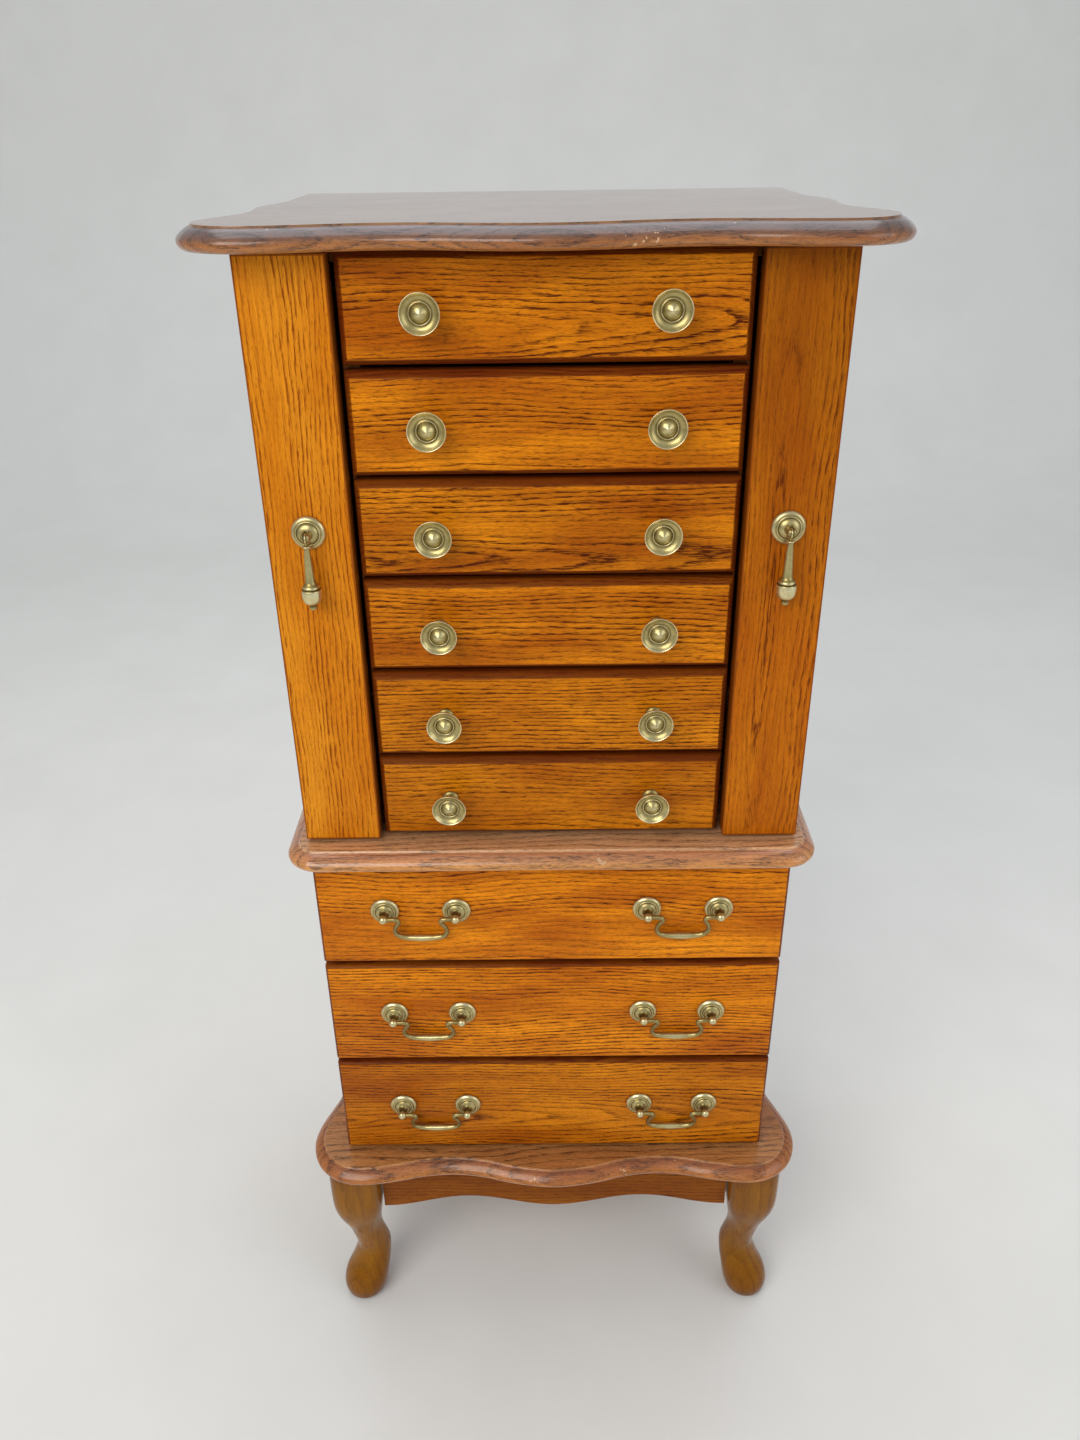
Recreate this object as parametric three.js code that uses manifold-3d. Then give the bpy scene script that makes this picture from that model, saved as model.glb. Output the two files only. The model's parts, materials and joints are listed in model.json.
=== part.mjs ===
// Jewellery armoire: a chest on cabriole legs with a lift-up lid, two swing-out side doors,
// five shallow drawers under a fixed tray front, and three deep drawers with bail pulls.
// Millimetres. X is the width, -Y the front and +Z up. The origin is on the floor, centred under the
// outer box.

import * as THREE from 'three';
import Module from 'manifold-3d';
import { mergeVertices } from 'three/addons/utils/BufferGeometryUtils.js';

const wasm = await Module();
wasm.setup();

// ---- Case ----
const CASE_WIDTH = 420; // over the closed side doors
const CASE_DEPTH = 291; // face of the doors to the back of the case
const LOWER_INSET = 1; // each lower side stands inside the ends of its drawer fronts
const SIDE_THICKNESS = 12;
const BACK_THICKNESS = 12;
const LOWER_BACK_THICKNESS = 8;

// ---- Moulded boards ----
const BOARD_THICKNESS = 16;
const MOULDING_REACH = 11; // how far the moulded edge stands out from the flat top
const SIDE_OVERHANG = 38; // lid and base board, past the case
const FRONT_OVERHANG = 38; // middle of the front bulge, past the door faces
const BACK_OVERHANG = 9;
const WAIST_SIDE_OVERHANG = 18;
const WAIST_FRONT_OVERHANG = 26;
const WAIST_CORNER_RADIUS = 18; // of the flat top
const DIP_FROM_SIDE = 137.5; // hollow of the front wave, in from the widest side
const DIP_DEPTH = 16; // behind the middle of the front bulge

// ---- Legs and aprons ----
const LEG_HEIGHT = 201;
const LEG_BLOCK = 50; // square knee block
const LEG_INSET = 17; // knee block behind the outer edge of the base board
const BACK_LEG_PROUD = 3; // back knee blocks outside the case sides, where the base board is narrower
const APRON_THICKNESS = 16;
const APRON_HEIGHT = 71;
const APRON_ARCH = 14.5; // rise of each arch in the lower edge
const APRON_GAP = 1.5; // to the knee blocks

// ---- Small drawers and the tray front above them ----
const SMALL_DRAWERS = 5;
const SMALL_FRONT_HEIGHT = 75;
const SMALL_FRONT_GAP = 3.6; // between fronts, and to the waist board
const TRAY_FRONT_HEAD_GAP = 1.6; // tray front to the top of the case
const SMALL_FRONT_THICKNESS = 18;
const SMALL_FRONT_RECESS = 3; // behind the door faces
const SMALL_BEVEL = 4.5;
const SMALL_BEVEL_DEPTH = 6;
const SMALL_BOX_HEIGHT = 56;
const SMALL_BOX_LIFT = 8; // box above the lower edge of the front

// ---- Large drawers ----
const LARGE_DRAWERS = 3;
const LARGE_FRONT_HEIGHT = 116;
const LARGE_FRONT_GAP = 5;
const LARGE_FRONT_MARGIN = 3; // to the boards above and below
const LARGE_FRONT_THICKNESS = 20;
const LARGE_BEVEL = 3;
const LARGE_BEVEL_DEPTH = 3;
const LARGE_BOX_HEIGHT = 90;
const LARGE_BOX_LIFT = 12;

// ---- Drawer boxes and runners ----
const BOX_WALL = 8;
const BOX_BOTTOM = 5;
const BOX_SIDE_CLEARANCE = 1.2;
const BOX_BACK_CLEARANCE = 10;
const FRONT_TO_CASE_GAP = 0.5;
const RUNNER_WIDTH = 10;
const RUNNER_HEIGHT = 6;
const RUNNER_CLEARANCE = 0.4;

// ---- Side doors ----
const DOOR_WIDTH = 63; // front stile of the L-shaped door
const DOOR_THICKNESS = 18;
const DOOR_PANEL_THICKNESS = 12;
const DOOR_TO_DRAWER_GAP = 4;
const DOOR_TO_WALL_GAP = 2;
const DOOR_FOOT_GAP = 3;
const DOOR_HEAD_GAP = 2.6;
const DOOR_HINGE_GAP = 1.5;
const CEILING_THICKNESS = 10; // over the necklace space behind each door
const HINGE_BARREL_RADIUS = 2.5;
const HINGE_BARREL_GAP = 0.3; // to the door panel
const HINGE_END_GAP = 15;
const HOOK_RAIL_HEIGHT = 25;
const HOOK_RAIL_THICKNESS = 12;
const HOOK_RAIL_DROP = 25; // below the top of the door
const HOOK_RAIL_END_GAP = 25;

// ---- Lid, mirror and tray ----
const LID_GAP = 0.6;
const LID_BARREL_RADIUS = 3;
const LID_BARREL_OUT = 3.5; // hinge axis behind the case
const LID_BARREL_GAP = 0.6; // barrel below the lid
const LID_HINGE_WIDTH = 40;
const LID_HINGE_SPACING = 240;
const LID_LEAF_HEIGHT = 24;
const LID_LEAF_THICKNESS = 1.2;
const MIRROR_FRAME_MARGIN = 9; // inside the tray
const MIRROR_FRAME_WIDTH = 14;
const MIRROR_FRAME_THICKNESS = 6;
const MIRROR_THICKNESS = 3;
const MIRROR_GAP = 0.3;
const TRAY_FLOOR_THICKNESS = 5;
const TRAY_FLOOR_LIFT = 2; // above the lower edge of the tray front
const TRAY_DIVIDER_THICKNESS = 6;
const TRAY_DIVIDER_HEIGHT = 45;
const CUSHION_DEPTH = 84;
const CUSHION_HEIGHT = 34;
const CUSHION_GAP = 0.5;

// ---- Pulls ----
const KNOB_SPACING = 169;
const KNOB_DIAMETER = 28;
const KNOB_PROJECTION = 22;
const BAIL_SPACING = 234; // between the two pulls of a drawer
const BAIL_RISE = 2.4; // pivots above the middle of the front
const BAIL_LEAN = 19; // degrees: a resting bail leans back, its bar just clear of the drawer front
const BAIL_HOLE_SPACING = 64;
const BAIL_DROP = 29;
const BAIL_ROD_RADIUS = 2.2;
const BAIL_PROJECTION = 14; // pivot in front of the drawer
const BAIL_POST_RADIUS = 3;
const DROP_PULL_HEIGHT = 275; // rosette above the foot of the door
const ROSETTE_DIAMETER = 25;
const ROSETTE_THICKNESS = 7;
const PENDANT_PROJECTION = 12; // pivot in front of the door
const PENDANT_LENGTH = 57;
const PENDANT_BELL_DIAMETER = 15.4;
const PENDANT_EYE_GAP = 0.6;

// ---- Derived levels and planes ----
const BOARD_WIDTH = CASE_WIDTH + 2 * SIDE_OVERHANG;
const BOARD_DEPTH = CASE_DEPTH + FRONT_OVERHANG + BACK_OVERHANG;
const FACE_Y = FRONT_OVERHANG - BOARD_DEPTH / 2;
const BACK_Y = BOARD_DEPTH / 2 - BACK_OVERHANG;
const SMALL_PITCH = SMALL_FRONT_HEIGHT + SMALL_FRONT_GAP;
const LARGE_PITCH = LARGE_FRONT_HEIGHT + LARGE_FRONT_GAP;
const UPPER_HEIGHT = (SMALL_DRAWERS + 1) * SMALL_PITCH + TRAY_FRONT_HEAD_GAP;
const LOWER_HEIGHT = LARGE_DRAWERS * LARGE_PITCH - LARGE_FRONT_GAP + 2 * LARGE_FRONT_MARGIN;
const BASE_TOP = LEG_HEIGHT + BOARD_THICKNESS;
const WAIST_BOTTOM = BASE_TOP + LOWER_HEIGHT;
const WAIST_TOP = WAIST_BOTTOM + BOARD_THICKNESS;
const UPPER_TOP = WAIST_TOP + UPPER_HEIGHT;
const LID_BOTTOM = UPPER_TOP + LID_GAP;
const SMALL_FACE_Y = FACE_Y + SMALL_FRONT_RECESS;
const SMALL_CASE_FRONT_Y = SMALL_FACE_Y + SMALL_FRONT_THICKNESS + FRONT_TO_CASE_GAP;
const LARGE_CASE_FRONT_Y = FACE_Y + LARGE_FRONT_THICKNESS + FRONT_TO_CASE_GAP;
const UPPER_BACK_Y = BACK_Y - BACK_THICKNESS;
const SMALL_FRONT_WIDTH = CASE_WIDTH - 2 * (DOOR_WIDTH + DOOR_TO_DRAWER_GAP);
const UPPER_WALL_OUTER = CASE_WIDTH / 2 - DOOR_WIDTH - DOOR_TO_WALL_GAP;
const UPPER_WALL_INNER = UPPER_WALL_OUTER - SIDE_THICKNESS;
const LOWER_WALL_OUTER = CASE_WIDTH / 2 - LOWER_INSET;
const LOWER_WALL_INNER = LOWER_WALL_OUTER - SIDE_THICKNESS;
const DOOR_BOTTOM = WAIST_TOP + DOOR_FOOT_GAP;
const DOOR_TOP = UPPER_TOP - DOOR_HEAD_GAP;
const DOOR_BACK_Y = UPPER_BACK_Y - DOOR_HINGE_GAP;
const TRAY_FRONT_Z = WAIST_TOP + SMALL_FRONT_GAP + SMALL_DRAWERS * SMALL_PITCH;
const TRAY_FLOOR_TOP = TRAY_FRONT_Z + TRAY_FLOOR_LIFT + TRAY_FLOOR_THICKNESS;

// ---- Materials ----
const OAK = { color: 0xb5651d, roughness: 0.42, metalness: 0 };
const MOULDED_OAK = { color: 0x7a4526, roughness: 0.35, metalness: 0 };
const LEG_WOOD = { color: 0x8a5214, roughness: 0.3, metalness: 0 };
const CASE_WOOD = { color: 0xa4602a, roughness: 0.55, metalness: 0 };
const ANTIQUE_BRASS = { color: 0x8c7a48, roughness: 0.38, metalness: 0.9 };
const MIRROR_GLASS = { color: 0xdfe4e6, roughness: 0.04, metalness: 1 };
const VELVET = { color: 0x5a1420, roughness: 0.95, metalness: 0 };

const group = new THREE.Group();

function add(name, geometry, look, x = 0, y = 0, z = 0) {
  const mesh = new THREE.Mesh(geometry, new THREE.MeshStandardMaterial(look));
  mesh.name = name;
  mesh.position.set(x, y, z);
  group.add(mesh);
}

// ---- Solid helpers ----
const JOIN_OVERLAP = 1; // how far a joined or cutting block runs into or past its neighbour
const MERGE_TOLERANCE = 1e-4;

function toManifold(geometry) {
  const bare = geometry.clone();
  bare.deleteAttribute('normal');
  bare.deleteAttribute('uv');
  const merged = mergeVertices(bare, MERGE_TOLERANCE);
  const position = merged.getAttribute('position');
  const index = merged.getIndex().array;
  const triangles = [];
  let volume = 0;
  const corner = [new THREE.Vector3(), new THREE.Vector3(), new THREE.Vector3()];
  for (let i = 0; i < index.length; i += 3) {
    const [a, b, c] = [index[i], index[i + 1], index[i + 2]];
    if (a === b || b === c || c === a) continue;
    triangles.push(a, b, c);
    [a, b, c].forEach((vertex, k) => corner[k].fromBufferAttribute(position, vertex));
    volume += corner[0].dot(corner[1].clone().cross(corner[2]));
  }
  if (volume < 0) triangles.reverse();
  const vertProperties = new Float32Array(position.array);
  const triVerts = new Uint32Array(triangles);
  return new wasm.Manifold(new wasm.Mesh({ numProp: 3, vertProperties, triVerts }));
}

function toGeometry(manifold) {
  const mesh = manifold.getMesh();
  const geometry = new THREE.BufferGeometry();
  geometry.setAttribute('position', new THREE.BufferAttribute(new Float32Array(mesh.vertProperties), 3));
  geometry.setIndex(new THREE.BufferAttribute(new Uint32Array(mesh.triVerts), 1));
  geometry.computeVertexNormals();
  return geometry;
}

function block(low, high) {
  const geometry = new THREE.BoxGeometry(high[0] - low[0], high[1] - low[1], high[2] - low[2]);
  return geometry.translate((low[0] + high[0]) / 2, (low[1] + high[1]) / 2, (low[2] + high[2]) / 2);
}

function join(...geometries) {
  return toGeometry(geometries.map(toManifold).reduce((whole, piece) => whole.add(piece)));
}

function cut(geometry, ...tools) {
  const whole = toManifold(geometry);
  return toGeometry(tools.map(toManifold).reduce((rest, tool) => rest.subtract(tool), whole));
}

// A slab whose outline grows and shrinks with height: each ring is [height, reach], and each outline point
// moves along its own outward direction.
function ringedSlab(points, outward, rings) {
  const shape = new THREE.Shape(points);
  const steps = rings.length - 1;
  const geometry = new THREE.ExtrudeGeometry(shape, { depth: steps, steps, bevelEnabled: false });
  const place = (x, y) => `${x.toFixed(3)} ${y.toFixed(3)}`;
  const lookup = new Map(points.map((point, i) => [place(point.x, point.y), i]));
  const position = geometry.getAttribute('position');
  for (let i = 0; i < position.count; i += 1) {
    const [height, reach] = rings[Math.round(position.getZ(i))];
    const out = outward[lookup.get(place(position.getX(i), position.getY(i)))];
    position.setXYZ(i, position.getX(i) + out.x * reach, position.getY(i) + out.y * reach, height);
  }
  return geometry;
}

// ---- Moulded boards ----
// The edge from the underside up: a rounded bead, a sloping hollow and a small step to the flat top.
// Each pair is a share of the thickness and a share of the reach.
const EDGE_PROFILE = [
  [0, 0.68], [0.1, 0.88], [0.28, 1], [0.44, 0.97], [0.58, 0.82],
  [0.71, 0.6], [0.82, 0.36], [0.9, 0.1], [1, 0],
];

function mouldedBoard(points) {
  const last = points.length - 1;
  const outward = points.map((point, i) => {
    if (i === 0 || i === last) return new THREE.Vector2(Math.sign(point.x), 0);
    const along = points[i + 1].clone().sub(points[i - 1]).normalize();
    return new THREE.Vector2(along.y, -along.x);
  });
  const rings = EDGE_PROFILE.map(([up, out]) => [up * BOARD_THICKNESS, out * MOULDING_REACH]);
  return ringedSlab(points, outward, rings);
}

// Right half of the serpentine outline of the flat top. The wave's points lie between the middle and the dip,
// as shares of both; the corner's points are [in from the side, behind the front bulge].
const WAVE_POINTS = [[0, 0], [0.38, 0.28], [0.7, 0.78], [1, 1]];
const CORNER_POINTS = [
  [107, 14], [77, 8], [47, 4], [27, 6.5], [12, 16], [3.5, 29], [0, 45], [2.5, 62], [9.5, 81],
  [17, 101], [20.5, 121], [19, 144], [16.5, 166], [18.5, 188], [24.5, 211], [27.5, 231],
];
const OUTLINE_STEPS = 44;

function serpentineOutline() {
  const halfWidth = BOARD_WIDTH / 2 - MOULDING_REACH;
  const front = MOULDING_REACH - BOARD_DEPTH / 2;
  const dip = halfWidth - DIP_FROM_SIDE;
  const wave = WAVE_POINTS.map(([x, y]) => new THREE.Vector2(x * dip, front + y * DIP_DEPTH));
  const corner = CORNER_POINTS.map(([x, y]) => new THREE.Vector2(halfWidth - x, front + y));
  const right = [...wave, ...corner];
  const left = right.slice(1).reverse().map((point) => new THREE.Vector2(-point.x, point.y));
  const curve = new THREE.SplineCurve([...left, ...right]);
  const points = curve.getSpacedPoints(OUTLINE_STEPS);
  const backLeft = new THREE.Vector2(points[0].x, BOARD_DEPTH / 2);
  const backRight = new THREE.Vector2(points[points.length - 1].x, BOARD_DEPTH / 2);
  return [backLeft, ...points, backRight];
}

const CORNER_STEPS = 6;

function waistOutline() {
  const halfWidth = CASE_WIDTH / 2 + WAIST_SIDE_OVERHANG - MOULDING_REACH;
  const front = FACE_Y - WAIST_FRONT_OVERHANG + MOULDING_REACH;
  const right = [];
  for (let i = 0; i <= CORNER_STEPS; i += 1) {
    const turn = (i / CORNER_STEPS) * (Math.PI / 2);
    const x = halfWidth - WAIST_CORNER_RADIUS * (1 - Math.sin(turn));
    right.push(new THREE.Vector2(x, front + WAIST_CORNER_RADIUS * (1 - Math.cos(turn))));
  }
  right.push(new THREE.Vector2(halfWidth, BACK_Y));
  const left = right.slice().reverse().map((point) => new THREE.Vector2(-point.x, point.y));
  return [...left, ...right];
}

add('base_board', mouldedBoard(serpentineOutline()), MOULDED_OAK, 0, 0, LEG_HEIGHT);
add('waist_board', mouldedBoard(waistOutline()), MOULDED_OAK, 0, 0, WAIST_BOTTOM);
add('lid_board', mouldedBoard(serpentineOutline()), MOULDED_OAK, 0, 0, LID_BOTTOM);

// ---- Cabriole legs ----
// From the floor up, for a knee block of RING_BLOCK: [share of the height, shift outwards in X and in Y,
// half width, squareness].
const RING_BLOCK = 50;
const LEG_RINGS = [
  [0, 4, 15.5, 2], [0.012, 4, 18, 2], [0.04, 3.5, 21.8, 2], [0.09, 2.5, 23.6, 2], [0.15, 0, 23, 2],
  [0.225, -5, 20.2, 2], [0.31, -8, 17.8, 2], [0.38, -6.3, 17, 2], [0.44, -4.2, 16.8, 2],
  [0.5, -2.6, 17.3, 2.1], [0.56, -1.2, 19.4, 2.3], [0.62, -0.4, 22, 2.8], [0.69, 0, 24.2, 3.5],
  [0.78, 0.2, 25, 4.3], [1, 0, 25, 5],
];
const LEG_SIDES = 16;

function legGeometry(sideX, sideY) {
  const points = [];
  for (let i = 0; i < LEG_SIDES; i += 1) {
    const angle = ((i + 0.5) / LEG_SIDES) * 2 * Math.PI;
    points.push(new THREE.Vector2(Math.cos(angle), Math.sin(angle)));
  }
  const steps = LEG_RINGS.length - 1;
  const shape = new THREE.Shape(points);
  const geometry = new THREE.ExtrudeGeometry(shape, { depth: steps, steps, bevelEnabled: false });
  const position = geometry.getAttribute('position');
  const scale = LEG_BLOCK / RING_BLOCK;
  for (let i = 0; i < position.count; i += 1) {
    const [share, shift, halfWidth, squareness] = LEG_RINGS[Math.round(position.getZ(i))];
    const x = position.getX(i);
    const y = position.getY(i);
    const round = (Math.abs(x) ** squareness + Math.abs(y) ** squareness) ** (-1 / squareness);
    const reach = halfWidth * round;
    const outX = (x * reach + sideX * shift) * scale;
    const outY = (y * reach + sideY * shift) * scale;
    position.setXYZ(i, outX, outY, share * LEG_HEIGHT);
  }
  return toGeometry(toManifold(geometry));
}

const FRONT_LEG_X = BOARD_WIDTH / 2 - LEG_INSET - LEG_BLOCK / 2;
const BACK_LEG_X = CASE_WIDTH / 2 + BACK_LEG_PROUD - LEG_BLOCK / 2;
const LEG_Y = BOARD_DEPTH / 2 - LEG_INSET - LEG_BLOCK / 2;
for (const [end, legX, sideY] of [['front', FRONT_LEG_X, -1], ['back', BACK_LEG_X, 1]]) {
  for (const [side, sideX] of [['left', -1], ['right', 1]]) {
    add(`leg_${end}_${side}`, legGeometry(sideX, sideY), LEG_WOOD, sideX * legX, sideY * LEG_Y);
  }
}

// ---- Aprons ----
// A board hung under the base: its lower edge is full height at both ends and in the middle, with two arches.
const ARCH_STEPS = 24;

function apronGeometry(length) {
  const lower = [];
  for (let i = 0; i <= ARCH_STEPS; i += 1) {
    const share = i / ARCH_STEPS;
    const rise = APRON_ARCH * Math.sin(2 * Math.PI * share) ** 2;
    lower.push(new THREE.Vector2((share - 0.5) * length, rise - APRON_HEIGHT));
  }
  const upper = [new THREE.Vector2(length / 2, 0), new THREE.Vector2(-length / 2, 0)];
  const shape = new THREE.Shape([...lower, ...upper]);
  const geometry = new THREE.ExtrudeGeometry(shape, { depth: APRON_THICKNESS, bevelEnabled: false });
  return geometry.translate(0, 0, -APRON_THICKNESS / 2).rotateX(Math.PI / 2);
}

const APRON_X = CASE_WIDTH / 2 - APRON_THICKNESS / 2;
const apronLength = (legPlace) => 2 * (legPlace - LEG_BLOCK / 2 - APRON_GAP);
const sideApronLength = apronLength(LEG_Y);
add('apron_front', apronGeometry(apronLength(FRONT_LEG_X)), OAK, 0, FACE_Y + APRON_THICKNESS / 2, LEG_HEIGHT);
add('apron_back', apronGeometry(apronLength(BACK_LEG_X)), OAK, 0, BACK_Y - APRON_THICKNESS / 2, LEG_HEIGHT);
add('apron_left', apronGeometry(sideApronLength).rotateZ(Math.PI / 2), OAK, -APRON_X, 0, LEG_HEIGHT);
add('apron_right', apronGeometry(sideApronLength).rotateZ(Math.PI / 2), OAK, APRON_X, 0, LEG_HEIGHT);

// ---- Fixed case: walls with drawer runners, and backs ----
function runnersFor(inner, frontY, backY, boxBottoms) {
  return boxBottoms.map((boxBottom) => {
    const top = boxBottom - RUNNER_CLEARANCE;
    return block([inner - RUNNER_WIDTH, frontY, top - RUNNER_HEIGHT], [inner + JOIN_OVERLAP, backY, top]);
  });
}

// The left-hand piece is the mirror image of the right-hand one.
function handed(sign, geometry) {
  return toGeometry(toManifold(geometry.scale(sign, 1, 1)));
}

const smallFrontZ = (i) => WAIST_TOP + SMALL_FRONT_GAP + (SMALL_DRAWERS - 1 - i) * SMALL_PITCH;
const largeFrontZ = (i) => BASE_TOP + LARGE_FRONT_MARGIN + (LARGE_DRAWERS - 1 - i) * LARGE_PITCH;
const smallBoxes = Array.from({ length: SMALL_DRAWERS }, (_, i) => smallFrontZ(i) + SMALL_BOX_LIFT);
const largeBoxes = Array.from({ length: LARGE_DRAWERS }, (_, i) => largeFrontZ(i) + LARGE_BOX_LIFT);

const lowerBackFrontY = BACK_Y - LOWER_BACK_THICKNESS;
const ceilingOuter = CASE_WIDTH / 2 - DOOR_PANEL_THICKNESS - DOOR_TO_WALL_GAP;
for (const [side, sign] of [['left', -1], ['right', 1]]) {
  const upperWall = join(
    block([UPPER_WALL_INNER, SMALL_CASE_FRONT_Y, WAIST_TOP], [UPPER_WALL_OUTER, UPPER_BACK_Y, UPPER_TOP]),
    block([UPPER_WALL_OUTER - JOIN_OVERLAP, SMALL_CASE_FRONT_Y, UPPER_TOP - CEILING_THICKNESS],
      [ceilingOuter, UPPER_BACK_Y, UPPER_TOP]),
    ...runnersFor(UPPER_WALL_INNER, SMALL_CASE_FRONT_Y, UPPER_BACK_Y, smallBoxes),
  );
  add(`upper_wall_${side}`, handed(sign, upperWall), CASE_WOOD);
  const lowerSide = join(
    block([LOWER_WALL_INNER, LARGE_CASE_FRONT_Y, BASE_TOP], [LOWER_WALL_OUTER, BACK_Y, WAIST_BOTTOM]),
    ...runnersFor(LOWER_WALL_INNER, LARGE_CASE_FRONT_Y, lowerBackFrontY, largeBoxes),
  );
  add(`lower_side_${side}`, handed(sign, lowerSide), OAK);
}
add('upper_back', block(
  [-CASE_WIDTH / 2, UPPER_BACK_Y, WAIST_TOP], [CASE_WIDTH / 2, BACK_Y, UPPER_TOP],
), CASE_WOOD);
add('lower_back', block(
  [-LOWER_WALL_INNER, lowerBackFrontY, BASE_TOP], [LOWER_WALL_INNER, BACK_Y, WAIST_BOTTOM],
), CASE_WOOD);

// ---- Drawers ----
function frontGeometry(width, height, thickness, bevel, bevelDepth) {
  const corners = [[-1, -1], [1, -1], [1, 1], [-1, 1]].map(([x, y]) => new THREE.Vector2(x, y));
  const points = corners.map((corner) => new THREE.Vector2((corner.x * width) / 2, (corner.y * height) / 2));
  const rings = [[0, 0], [thickness - bevelDepth, 0], [thickness, -bevel]];
  return ringedSlab(points, corners, rings).rotateX(Math.PI / 2).translate(0, thickness, height / 2);
}

// The front's lower edge is at z = 0 and its face at y = 0; the box stands behind it.
function drawerGeometry(front, thickness, boxWidth, boxHeight, boxLift, boxLength) {
  const back = thickness + boxLength;
  const box = block(
    [-boxWidth / 2, thickness - JOIN_OVERLAP, boxLift], [boxWidth / 2, back, boxLift + boxHeight],
  );
  const room = block(
    [BOX_WALL - boxWidth / 2, thickness, boxLift + BOX_BOTTOM],
    [boxWidth / 2 - BOX_WALL, back - BOX_WALL, boxLift + boxHeight + JOIN_OVERLAP],
  );
  return cut(join(front, box), room);
}

const smallFront = () => frontGeometry(
  SMALL_FRONT_WIDTH, SMALL_FRONT_HEIGHT, SMALL_FRONT_THICKNESS, SMALL_BEVEL, SMALL_BEVEL_DEPTH,
);
const smallBoxWidth = 2 * (UPPER_WALL_INNER - BOX_SIDE_CLEARANCE);
const smallBoxLength = UPPER_BACK_Y - BOX_BACK_CLEARANCE - SMALL_FACE_Y - SMALL_FRONT_THICKNESS;
const largeBoxWidth = 2 * (LOWER_WALL_INNER - BOX_SIDE_CLEARANCE);
const largeBoxLength = lowerBackFrontY - BOX_BACK_CLEARANCE - FACE_Y - LARGE_FRONT_THICKNESS;

for (let i = 0; i < SMALL_DRAWERS; i += 1) {
  add(`small_drawer_${i + 1}`, drawerGeometry(
    smallFront(), SMALL_FRONT_THICKNESS, smallBoxWidth, SMALL_BOX_HEIGHT, SMALL_BOX_LIFT, smallBoxLength,
  ), OAK, 0, SMALL_FACE_Y, smallFrontZ(i));
}
for (let i = 0; i < LARGE_DRAWERS; i += 1) {
  const front = frontGeometry(
    CASE_WIDTH, LARGE_FRONT_HEIGHT, LARGE_FRONT_THICKNESS, LARGE_BEVEL, LARGE_BEVEL_DEPTH,
  );
  add(`large_drawer_${i + 1}`, drawerGeometry(
    front, LARGE_FRONT_THICKNESS, largeBoxWidth, LARGE_BOX_HEIGHT, LARGE_BOX_LIFT, largeBoxLength,
  ), OAK, 0, FACE_Y, largeFrontZ(i));
}

// ---- Tray under the lid ----
const trayFrontBack = SMALL_FACE_Y + SMALL_FRONT_THICKNESS;
add('tray_front', smallFront(), OAK, 0, SMALL_FACE_Y, TRAY_FRONT_Z);
const dividerY = trayFrontBack + 2 * CUSHION_GAP + CUSHION_DEPTH;
const trayWidth = UPPER_WALL_INNER;
const trayFloor = block(
  [-trayWidth, trayFrontBack, TRAY_FLOOR_TOP - TRAY_FLOOR_THICKNESS],
  [trayWidth, UPPER_BACK_Y, TRAY_FLOOR_TOP],
);
const trayDivider = block(
  [-trayWidth, dividerY, TRAY_FLOOR_TOP - JOIN_OVERLAP],
  [trayWidth, dividerY + TRAY_DIVIDER_THICKNESS, TRAY_FLOOR_TOP + TRAY_DIVIDER_HEIGHT],
);
add('tray', join(trayFloor, trayDivider), CASE_WOOD);
add('ring_cushion', block(
  [CUSHION_GAP - trayWidth, dividerY - CUSHION_GAP - CUSHION_DEPTH, TRAY_FLOOR_TOP],
  [trayWidth - CUSHION_GAP, dividerY - CUSHION_GAP, TRAY_FLOOR_TOP + CUSHION_HEIGHT],
), VELVET);

// ---- Lid: mirror in a frame on its underside, and its hinges on the back of the case ----
const mirrorX = UPPER_WALL_INNER - MIRROR_FRAME_MARGIN;
const mirrorFront = trayFrontBack + MIRROR_FRAME_MARGIN;
const mirrorBack = UPPER_BACK_Y - MIRROR_FRAME_MARGIN;
const frameLow = LID_BOTTOM - MIRROR_FRAME_THICKNESS;
add('mirror_frame', cut(
  block([-mirrorX, mirrorFront, frameLow], [mirrorX, mirrorBack, LID_BOTTOM]),
  block(
    [MIRROR_FRAME_WIDTH - mirrorX, mirrorFront + MIRROR_FRAME_WIDTH, frameLow - JOIN_OVERLAP],
    [mirrorX - MIRROR_FRAME_WIDTH, mirrorBack - MIRROR_FRAME_WIDTH, LID_BOTTOM + JOIN_OVERLAP],
  ),
), OAK);
const glassInset = MIRROR_FRAME_WIDTH + MIRROR_GAP;
add('mirror', block(
  [glassInset - mirrorX, mirrorFront + glassInset, LID_BOTTOM - MIRROR_THICKNESS],
  [mirrorX - glassInset, mirrorBack - glassInset, LID_BOTTOM],
), MIRROR_GLASS);

const LID_AXIS_Y = BACK_Y + LID_BARREL_OUT;
const LID_AXIS_Z = LID_BOTTOM - LID_BARREL_GAP - LID_BARREL_RADIUS;
const BARREL_SIDES = 12;
const barrelGeometry = (radius, length) => new THREE.CylinderGeometry(radius, radius, length, BARREL_SIDES);

for (const [side, sign] of [['left', -1], ['right', 1]]) {
  const barrel = barrelGeometry(LID_BARREL_RADIUS, LID_HINGE_WIDTH);
  barrel.rotateZ(Math.PI / 2).translate(0, LID_AXIS_Y, LID_AXIS_Z);
  const halfWidth = LID_HINGE_WIDTH / 2;
  const leaf = block(
    [-halfWidth, BACK_Y, LID_AXIS_Z - LID_LEAF_HEIGHT], [halfWidth, BACK_Y + LID_LEAF_THICKNESS, LID_AXIS_Z],
  );
  const neck = block(
    [-halfWidth, BACK_Y, LID_AXIS_Z - LID_BARREL_RADIUS / 2], [halfWidth, LID_AXIS_Y, LID_AXIS_Z],
  );
  add(`lid_hinge_${side}`, join(barrel, leaf, neck), ANTIQUE_BRASS, (sign * LID_HINGE_SPACING) / 2);
}

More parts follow.
